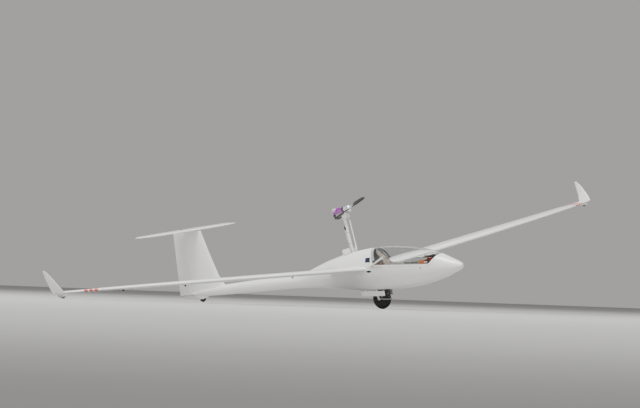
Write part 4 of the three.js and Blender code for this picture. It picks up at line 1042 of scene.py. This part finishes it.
class SAILPLANE_OT_motor(bpy.types.Operator):
    """Rings, screws, slots, gear teeth and leads of the motor, and the spinner's seam"""
    bl_idname = "sailplane.motor"
    bl_label = "Motor fittings"

    def execute(self, context):
        for label, at, length in (("front", CAN_FRONT, 5), ("back", CAN_BACK, 3.4)):
            ring = rod(f"can_{label}_ring", on_motor(at), MOTOR_AXIS, length,
                       MOTOR_RADIUS + RING_STEP, 0.4, RING_STEP, 48)
            settle(ring, "motor_head", "violet_anodising")
        for number, angle in enumerate(around(8, 0.2)):
            slot = rod(f"can_slot_{number + 1}", on_motor(-97, MOTOR_RADIUS - SLOT_DEPTH, angle),
                       MOTOR_AXIS, 39, 1.1, 1, 0.7, 12)
            settle(slot, "motor_head", "collar_enamel")
        boss = turned("end_cap_boss", on_motor(-112.5), -MOTOR_AXIS, [
            (0, 9.5), (0.8, 9.5), (1.2, 9), (1.2, 6.5), (0.7, 6.2), (0.7, 3.4), (1.5, 3.2),
            (1.5, 1.4)], 40)
        settle(boss, "motor_head", "end_cap_alloy")
        for number, angle in enumerate(around(6)):
            screw = socket_screw(f"end_cap_screw_{number + 1}", on_motor(-112.9, 11.2, angle),
                                 -MOTOR_AXIS, 1.25, 0.9)
            settle(screw, "motor_head", "bolt_steel")
            place = on_motor(COLLAR_SCREWS, 16.8, angle + 0.3)
            screw = socket_screw(f"collar_screw_{number + 1}", place,
                                 place - on_motor(COLLAR_SCREWS), 1.3, 0.7)
            settle(screw, "motor_head", "bolt_steel")
        teeth = gear_teeth("gear_ring_teeth", on_motor(-27.5), MOTOR_AXIS, 15, 44, 5.5)
        settle(teeth, "motor_head", "polished_alloy")
        for number, (side, drop) in enumerate(((-5.5, 0), (0, -2), (5.5, 0))):
            lead = phase_lead(number + 1, side, drop,
                              context.scene.sailplane_sizes.motor_lead / MM)
            settle(lead, "motor_head", "lead_insulation")
        seam = turned("spinner_seam", on_motor(6.2), MOTOR_AXIS,
                      [(0, 18.4), (0.1, 18.9), (1.1, 18.75), (1.2, 18.2)], 64)
        settle(seam, "propeller", "polished_alloy")
        settle(socket_screw("spinner_screw", on_motor(18.9), MOTOR_AXIS, 3.2, 1.3),
               "propeller", "bolt_steel")
        for side, hand in HANDS:
            for up, end in ((1, "top"), (-1, "low")):
                place = on_motor(BLADE_PINS) + BLADE_SIDE * side * 24 + BLADE_TOP * up * 6
                bolt = socket_screw(f"{hand}_blade_bolt_{end}", place, BLADE_TOP * up, 2.3, 1.2)
                settle(bolt, "propeller", "bolt_steel")
        return {"FINISHED"}


def gear_teeth(name, centre, axis, radius, count, length):
    """A ring of teeth: every second face of a drum is drawn out."""
    ring = rod(name, centre, axis, length + 0.1, radius, 0.1, radius * 0.01, count * 2)

    def is_tooth(face):
        side = abs(face.normal.z) < 0.2 and abs(face.center.z / MM - length / 2) < 0.5
        index = round(math.atan2(face.center.y, face.center.x) / (math.pi / count) - 0.5)
        return side and index % 2 == 0

    pick_faces(ring, is_tooth)
    bpy.ops.mesh.extrude_faces_move(TRANSFORM_OT_shrink_fatten={"value": 0.9 * MM})
    bpy.ops.object.mode_set(mode="OBJECT")
    return ring


def phase_lead(number, side, drop, radius):
    """One of the motor's three leads, with its sleeve where it joins the lead below."""
    points = [
        on_motor(-104) + Vector((0, side, -16.5)),
        on_motor(-107) + Vector((0, side * 1.2, -24 + drop)),
        Vector((-243, side * 1.1, 305 + drop)),
        Vector((-233, side * 0.9, 296 + drop)),
        Vector((-219, side * 0.8, 298 + drop)),
        Vector((-206, side * 0.8, 302.5 + drop)),
        Vector((-188, side * 0.8, 305)),
    ]
    strand = wire(f"phase_lead_{number}_strand", points, radius, 3, 8)
    sleeve = wire(f"phase_lead_{number}_sleeve", [
        points[3] * 0.8 + points[2] * 0.2, points[3] * 0.5 + points[4] * 0.5, points[4]],
        radius + 0.6, 3, 6)
    return joined(f"phase_lead_{number}", [strand, sleeve])


# The piping up the port edge of the seat's back; it crosses at the top and mirrors down
PIPING = [(101, 33, 13), (90, 29.5, 26), (66, 24, 54), (33, 17, 90), (33.5, 12.5, 96.5)]
PIPING_TOP = (33, 0, 98)


class SAILPLANE_OT_cockpit(bpy.types.Operator):
    """Seat trim, ledge, panel dials, hood edging, the pack's leads and the canopy's hoop"""
    bl_idname = "sailplane.cockpit"
    bl_label = "Cockpit fittings"

    def execute(self, context):
        piping = [(x, -y, z) for x, y, z in PIPING] + [PIPING_TOP] + PIPING[::-1]
        settle(wire("seat_piping", piping, 1.5), "airframe", "seat_piping")
        for side, hand in HANDS:
            settle(seat_pad(side, hand), "airframe", "seat_laminate")
        ledge = block("right_side_ledge", (58, -84, 19), (112, -56, 25), 2.2, 3)
        settle(ledge, "airframe", "brick_leather")
        headrest = block("headrest", (30, -13, 72), (40, 13, 92), 3.5, 4)
        settle(headrest, "airframe", "seat_piping")
        panel_dials()
        edging = wire("hood_edging", [(346.5, y, 46.5) for y in (-66, -40, 0, 40, 66)], 2.0)
        settle(edging, "airframe", "seat_piping", "cream_paint")
        pack_fittings()
        canopy_hoop()
        return {"FINISHED"}


# The hoop inside the canopy's rear edge: steps round it, width, distance inside the glass
HOOP_STEPS = 40
HOOP_SPREAD = 72 * DEG
HOOP_WIDTH = 17
HOOP_INSET = 1.2


def hoop_start(z):
    """The glass's rear edge runs forward below this height."""
    return 15.5 + 0.42 * max(0.0, 113 - z)


def canopy_hoop():
    """A light strip that follows the inside of the canopy along its rear edge."""
    hoop = begun("canopy_rear_hoop", bpy.ops.mesh.primitive_grid_add, x_subdivisions=4,
                 y_subdivisions=HOOP_STEPS, size=1)
    for vertex in hoop.data.vertices:
        angle = vertex.co.y * 2 * HOOP_SPREAD
        across = (vertex.co.x + 0.5) * HOOP_WIDTH
        towards = Vector((0, math.sin(angle), math.cos(angle)))
        inner, _ = skin_at("canopy_glass", (48, 0, 20), towards)
        inner, _ = skin_at("canopy_glass", (hoop_start(inner.z) + across, 0, 20), towards)
        vertex.co = (inner - towards * HOOP_INSET) * MM
    apply_modifier(hoop, "SOLIDIFY", thickness=1.0 * MM, offset=0)
    face_outward()
    settle(hoop, "canopy", "hoop_grey")


def seat_pad(side, hand):
    """A raised bolster along one edge of the seat's back, further out at its foot."""
    top, foot = 88, 17
    outline = [(38, top), (41.5, top), (99, 20), (97.5, foot), (94, foot)]
    pad = plate(f"{hand}_seat_bolster", outline, side * 15, side * 19, 1.4, 3)
    for vertex in pad.data.vertices:
        share = (top - vertex.co.z / MM) / (top - foot)
        vertex.co.y += side * 10 * share * MM
    return pad


# Dials on the panel: y, z, radius
PANEL_DIALS = [(-20, 22, 9), (4, 22, 9), (28, 22, 9), (-44, 18, 7), (16, 3, 7), (-8, 3, 7),
               (48, 18, 7)]


def panel_dials():
    for number, (y, z, radius) in enumerate(PANEL_DIALS):
        name = f"dial_{number + 1}"
        bezel = turned(f"{name}_bezel", (386.6, y, z), (-1, 0, 0), [
            (0, radius), (1.6, radius), (2, radius * 0.93), (2, radius * 0.86),
            (1, radius * 0.83)], 36)
        settle(bezel, "airframe", "bezel_black")
        boss = turned(f"{name}_boss", (385.5, y, z), (-1, 0, 0),
                      [(0, 1.3), (0.5, 1.3), (0.7, 0.9)], 16)
        pointer = block(f"{name}_pointer", (385.0, y - 0.35, z),
                        (385.3, y + 0.35, z + radius * 0.7), 0.1, 1)
        settle(joined(f"{name}_needle", [boss, pointer]), "airframe", "dial_white")


# The pack's leads: y, height of their bend, finish
PACK_LEADS = [(-46, 22, "lead_red"), (-42, 27, "lead_red"), (-39, 19, "lead_insulation"),
              (-44, 15, "lead_red")]


def pack_fittings():
    """The wrapped pack's folded ends, its plug and the red and black leads."""
    for number, x in enumerate((343.0, 383.0)):
        fold = block(f"pack_end_fold_{number + 1}", (x - 0.7, -45, -6), (x + 0.7, 7, 22), 0.6)
        settle(fold, "airframe", "shrink_wrap")
    plug = block("pack_plug", (384, -51, 5), (396, -37, 18), 1.6, 3)
    collar = block("pack_plug_collar", (394, -52, 7.5), (400, -36, 15.5), 1)
    settle(joined("pack_plug", [plug, collar]), "airframe", "dial_white")
    for number, (y, height, finish) in enumerate(PACK_LEADS):
        lead = wire(f"pack_lead_{number + 1}", [
            (398, y, 11), (404, y - 1, 15), (408, y, height + 4), (414, y + 2, height + 12),
            (421, y + 6, height + 4), (426, y + 12, 10), (430, y + 18, -8)], 1.5)
        settle(lead, "airframe", finish)


# Under each wing, a horn and its fairing stand behind each servo: y of the starboard ones, body
HORNS = [(-496, "{}_flap"), (-1424, "{}_aileron"), (-1932, "{}_aileron")]
WING_ROOT = 100
WING_LENGTH = 2260
BELOW = -300
COVER_SIZE = (46 * MM, 34 * MM, 1)


def span_share(y):
    """How far out along the wing a starboard place lies."""
    return (-y - WING_ROOT) / WING_LENGTH


class SAILPLANE_OT_wings(bpy.types.Operator):
    """Control horns, servo covers and their screws under the wings"""
    bl_idname = "sailplane.wings"
    bl_label = "Wing fittings"

    def execute(self, context):
        drop = context.scene.sailplane_sizes.horn_height / MM
        for y, body in HORNS:
            hinge_x = -201 - 18 * span_share(y)
            place, _ = skin_at(body.format("right"), (hinge_x - 8, y, BELOW), UPWARD)
            x, z = place.x, place.z
            horn = plate("horn", [
                (x + 12, z + 1.5), (x - 11, z + 1.5), (x - 1.5, z - drop + 1.5),
                (x + 2, z - drop), (x + 6, z - drop + 1.5)], y - 1.1, y + 1.1, 0.5)
            both_sides(horn, "{}_" + f"horn_{-y}", body, "hub_plastic")
            servo_cover(y)
        return {"FINISHED"}


def servo_cover(y):
    """A flush cover with its blister and four screws, laid on the wing's underside."""
    x = -150 - 30 * span_share(y)
    cover = begun("servo_cover", bpy.ops.mesh.primitive_grid_add, x_subdivisions=16,
                  y_subdivisions=16, size=1, location=Vector((x, y, BELOW)) * MM)
    cover.scale = COVER_SIZE
    bpy.ops.object.transform_apply(location=True, rotation=False, scale=True)
    for vertex in cover.data.vertices:
        point, _ = skin_at("right_wing", vertex.co / MM, UPWARD)
        across = (vertex.co.y / MM - y) / 7
        along = (vertex.co.x / MM - x + 8) / 13
        bulge = max(0.0, 1 - across ** 2 - along ** 2)
        vertex.co.z = (point.z - 0.25 - 3.5 * bulge) * MM
    apply_modifier(cover, "SOLIDIFY", thickness=0.6 * MM, offset=0)
    face_outward()
    screws = []
    for dx, dy in ((-20, -14), (20, -14), (-20, 14), (20, 14)):
        point, normal = skin_at("right_wing", (x + dx, y + dy, BELOW), UPWARD)
        screws.append(socket_screw("cover_screw", point - Vector((0, 0, 0.4)), normal, 1.4, 0.5))
    both_sides(cover, "{}_" + f"servo_cover_{-y}", "airframe", "gelcoat")
    both_sides(joined("cover_screws", screws), "{}_" + f"servo_cover_screws_{-y}", *STEEL)


class SAILPLANE_OT_tail(bpy.types.Operator):
    """Rudder and elevator horns, the tail's bolts, fairings, a dark foot strip of painted shadow and the shelf"""
    bl_idname = "sailplane.tail"
    bl_label = "Tail fittings"

    def execute(self, context):
        x, _, z = TAIL_WHEEL
        for side, hand in HANDS:
            place, _ = skin_at("rudder", (-1378, side * 60, 10), (0, -side, 0))
            tip_y = place.y + side * 11
            horn = block(f"{hand}_rudder_horn", (place.x - 7, min(place.y, tip_y), 8.8),
                         (place.x + 5, max(place.y, tip_y), 10.8), 0.6)
            settle(horn, "rudder", "hub_plastic")
            point, _ = skin_at("tail_wheel_fairing", (x, side * 60, z), (0, -side, 0))
            nut = hex_bolt(f"{hand}_tail_axle_nut", point, (0, side, 0), 2.4, 2)
            settle(nut, *STEEL)
        top, _ = skin_at("tailplane", (-1300, 0, 400), (0, 0, -1))
        settle(socket_screw("tailplane_bolt", top, UPWARD, 4, 1.6), *STEEL)
        settle(turned("tailplane_bolt_washer", top, UPWARD,
                      [(-0.5, 6.2), (0.6, 6.2), (0.9, 5.8), (0.9, 4.2)], 32), *STEEL)
        point, _ = hull_at(-1330, -66)
        fairing = turned("cable_fairing", (-1308, point.y + 0.5, -70), (-1, 0, 0.08), [
            (0, 0.8), (12, 3), (26, 4.8), (36, 5.2), (37.5, 4.6), (37.5, 3), (34, 2.8)], 28)
        # The fairings wear the brighter gelcoat: a painted highlight on the tail
        both_sides(fairing, "{}_cable_fairing", "airframe", "painted_highlight_gelcoat")
        # A dark strip along the rudder's foot: painted shadow in the gap above the shelf
        foot = plate("rudder_foot_painted_shadow", [(-1426, -74), (-1400, -74), (-1402, -78.5), (-1424, -78.5)],
                     -2.6, 2.6, 0.6)
        settle(foot, "rudder", "hub_plastic")
        shelf = plate("tail_shelf", [(-1332, -81), (-1424, -80.5), (-1430, -83), (-1422, -87),
                                     (-1380, -90), (-1330, -93)], -4.5, 4.5, 1.6, 3)
        settle(shelf, "airframe", "gelcoat")
        settle(hex_bolt("elevator_link", (-1352, -3.5, 297), (0, -1, 0), 3, 2.5),
               "airframe", "hub_plastic")
        return {"FINISHED"}


BESIDE = -200
# Where each side vent lies: a dark oval of painted shadow under the wing root
VENT_PLACE = (17.5, -13.5)
VENT_SHAPE = 0.36
LATCH_PLACE = (373, -16)
STATIC_PORT = (-620, -46)


def hull_at(x, z):
    """The skin and its normal on the hull's starboard side."""
    return skin_at("fuselage_shell", (x, BESIDE, z), ACROSS)


class SAILPLANE_OT_fuselage(bpy.types.Operator):
    """Vents, latch, door hinges and static ports on the hull; each vent's dark oval is painted shadow beneath the
    wing root's leading edge
    """
    bl_idname = "sailplane.fuselage"
    bl_label = "Hull fittings"

    def execute(self, context):
        half = context.scene.sailplane_sizes.vent_length / 2 / MM
        # A dark oval drawn as a vent: painted shadow beneath the wing root's leading edge
        vent = hull_oval("vent", *VENT_PLACE, half, half * VENT_SHAPE)
        both_sides(vent, "{}_side_vent", "airframe", "vent_painted_shadow")
        lip = hull_ring("vent_lip", *VENT_PLACE, half + 0.7, half * VENT_SHAPE + 0.7, 1.1)
        both_sides(lip, "{}_side_vent_lip", "airframe", "gelcoat")
        latch = hull_oval("latch", *LATCH_PLACE, 2.2, 6.5)
        settle(latch, "airframe", "hub_plastic", "dark_metal")
        port = turned("static_port", *hull_at(*STATIC_PORT),
                      [(-0.3, 2.2), (0.3, 2.2), (0.45, 1.8), (0.45, 0.7), (0, 0.6)], 20)
        both_sides(port, "{}_boom_static_port", *STEEL)
        door_hinges()
        return {"FINISHED"}


def hull_oval(name, x, z, half_length, half_height):
    """A thin oval plate laid on the hull's starboard side."""
    oval = begun(name, bpy.ops.mesh.primitive_circle_add, vertices=40, radius=1,
                 fill_type="NGON")
    edit_all()
    for _ in range(3):
        bpy.ops.mesh.inset(thickness=0.24, use_boundary=True)
    bpy.ops.object.mode_set(mode="OBJECT")
    for vertex in oval.data.vertices:
        point, normal = hull_at(x + vertex.co.x * half_length, z + vertex.co.y * half_height)
        vertex.co = (point + normal * 0.35) * MM
    face_outward()
    apply_modifier(oval, "SOLIDIFY", thickness=0.5 * MM, offset=0)
    return oval


def hull_ring(name, x, z, half_length, half_height, radius):
    """A thin moulded lip round an oval on the hull's starboard side."""
    points = [hull_at(x + math.cos(angle) * half_length, z + math.sin(angle) * half_height)[0]
              for angle in around(32)]
    return wire(name, points + points[:1], radius, 3, 3)


# How long the hinge line of each bay door is
DOOR_LENGTHS = {"front": 53, "middle": 155, "aft": 150}
KNUCKLE_LENGTH = 8


def door_hinges():
    """Three knuckles along each bay door's hinge line."""
    for _, hand in HANDS:
        for place, length in DOOR_LENGTHS.items():
            joint = JOINTS[f"{hand}_{place}_door_hinge"]
            body = f"{hand}_{place}_bay_door"
            start = AIRFRAME.inverted() @ Vector(joint["pos_m"]) / MM
            axis = TURN.transposed() @ Vector(joint["axis"])
            axis = axis if axis.x < 0 else -axis
            for number, share in enumerate((0.12, 0.5, 0.88)):
                knuckle = rod(f"{body}_knuckle_{number + 1}",
                              start + axis * (length * share - KNUCKLE_LENGTH / 2), axis,
                              KNUCKLE_LENGTH, 1.1, 0.2, 0.2, 16)
                settle(knuckle, body, "bolt_steel", "grey_metal")


class SAILPLANE_PT_panel(bpy.types.Panel):
    bl_idname = "SAILPLANE_PT_panel"
    bl_label = "Sailplane"
    bl_space_type = "VIEW_3D"
    bl_region_type = "UI"
    bl_category = "Sailplane"

    def draw(self, context):
        layout = self.layout
        for settings in SETTINGS:
            group = getattr(context.scene, settings)
            for name in group.__annotations__:
                layout.prop(group, name)
        for operator in OPERATORS:
            layout.operator(operator.bl_idname)


SETTINGS = {
    "sailplane_finishes": FinishSettings,
    "sailplane_sizes": SizeSettings,
    "sailplane_stage": StageSettings,
}
OPERATORS = [
    SAILPLANE_OT_stage,
    SAILPLANE_OT_finishes,
    SAILPLANE_OT_wheels,
    SAILPLANE_OT_main_gear,
    SAILPLANE_OT_mast,
    SAILPLANE_OT_motor,
    SAILPLANE_OT_cockpit,
    SAILPLANE_OT_wings,
    SAILPLANE_OT_tail,
    SAILPLANE_OT_fuselage,
]


def register():
    for cls in [*SETTINGS.values(), *OPERATORS, SAILPLANE_PT_panel]:
        bpy.utils.register_class(cls)
    for name, cls in SETTINGS.items():
        setattr(bpy.types.Scene, name, bpy.props.PointerProperty(type=cls))


def unregister():
    for name in SETTINGS:
        delattr(bpy.types.Scene, name)
    for cls in [SAILPLANE_PT_panel, *reversed(OPERATORS), *reversed(SETTINGS.values())]:
        bpy.utils.unregister_class(cls)


def main():
    register()
    for operator in OPERATORS:
        area, name = operator.bl_idname.split(".")
        getattr(getattr(bpy.ops, area), name)()


if __name__ == "__main__":
    main()
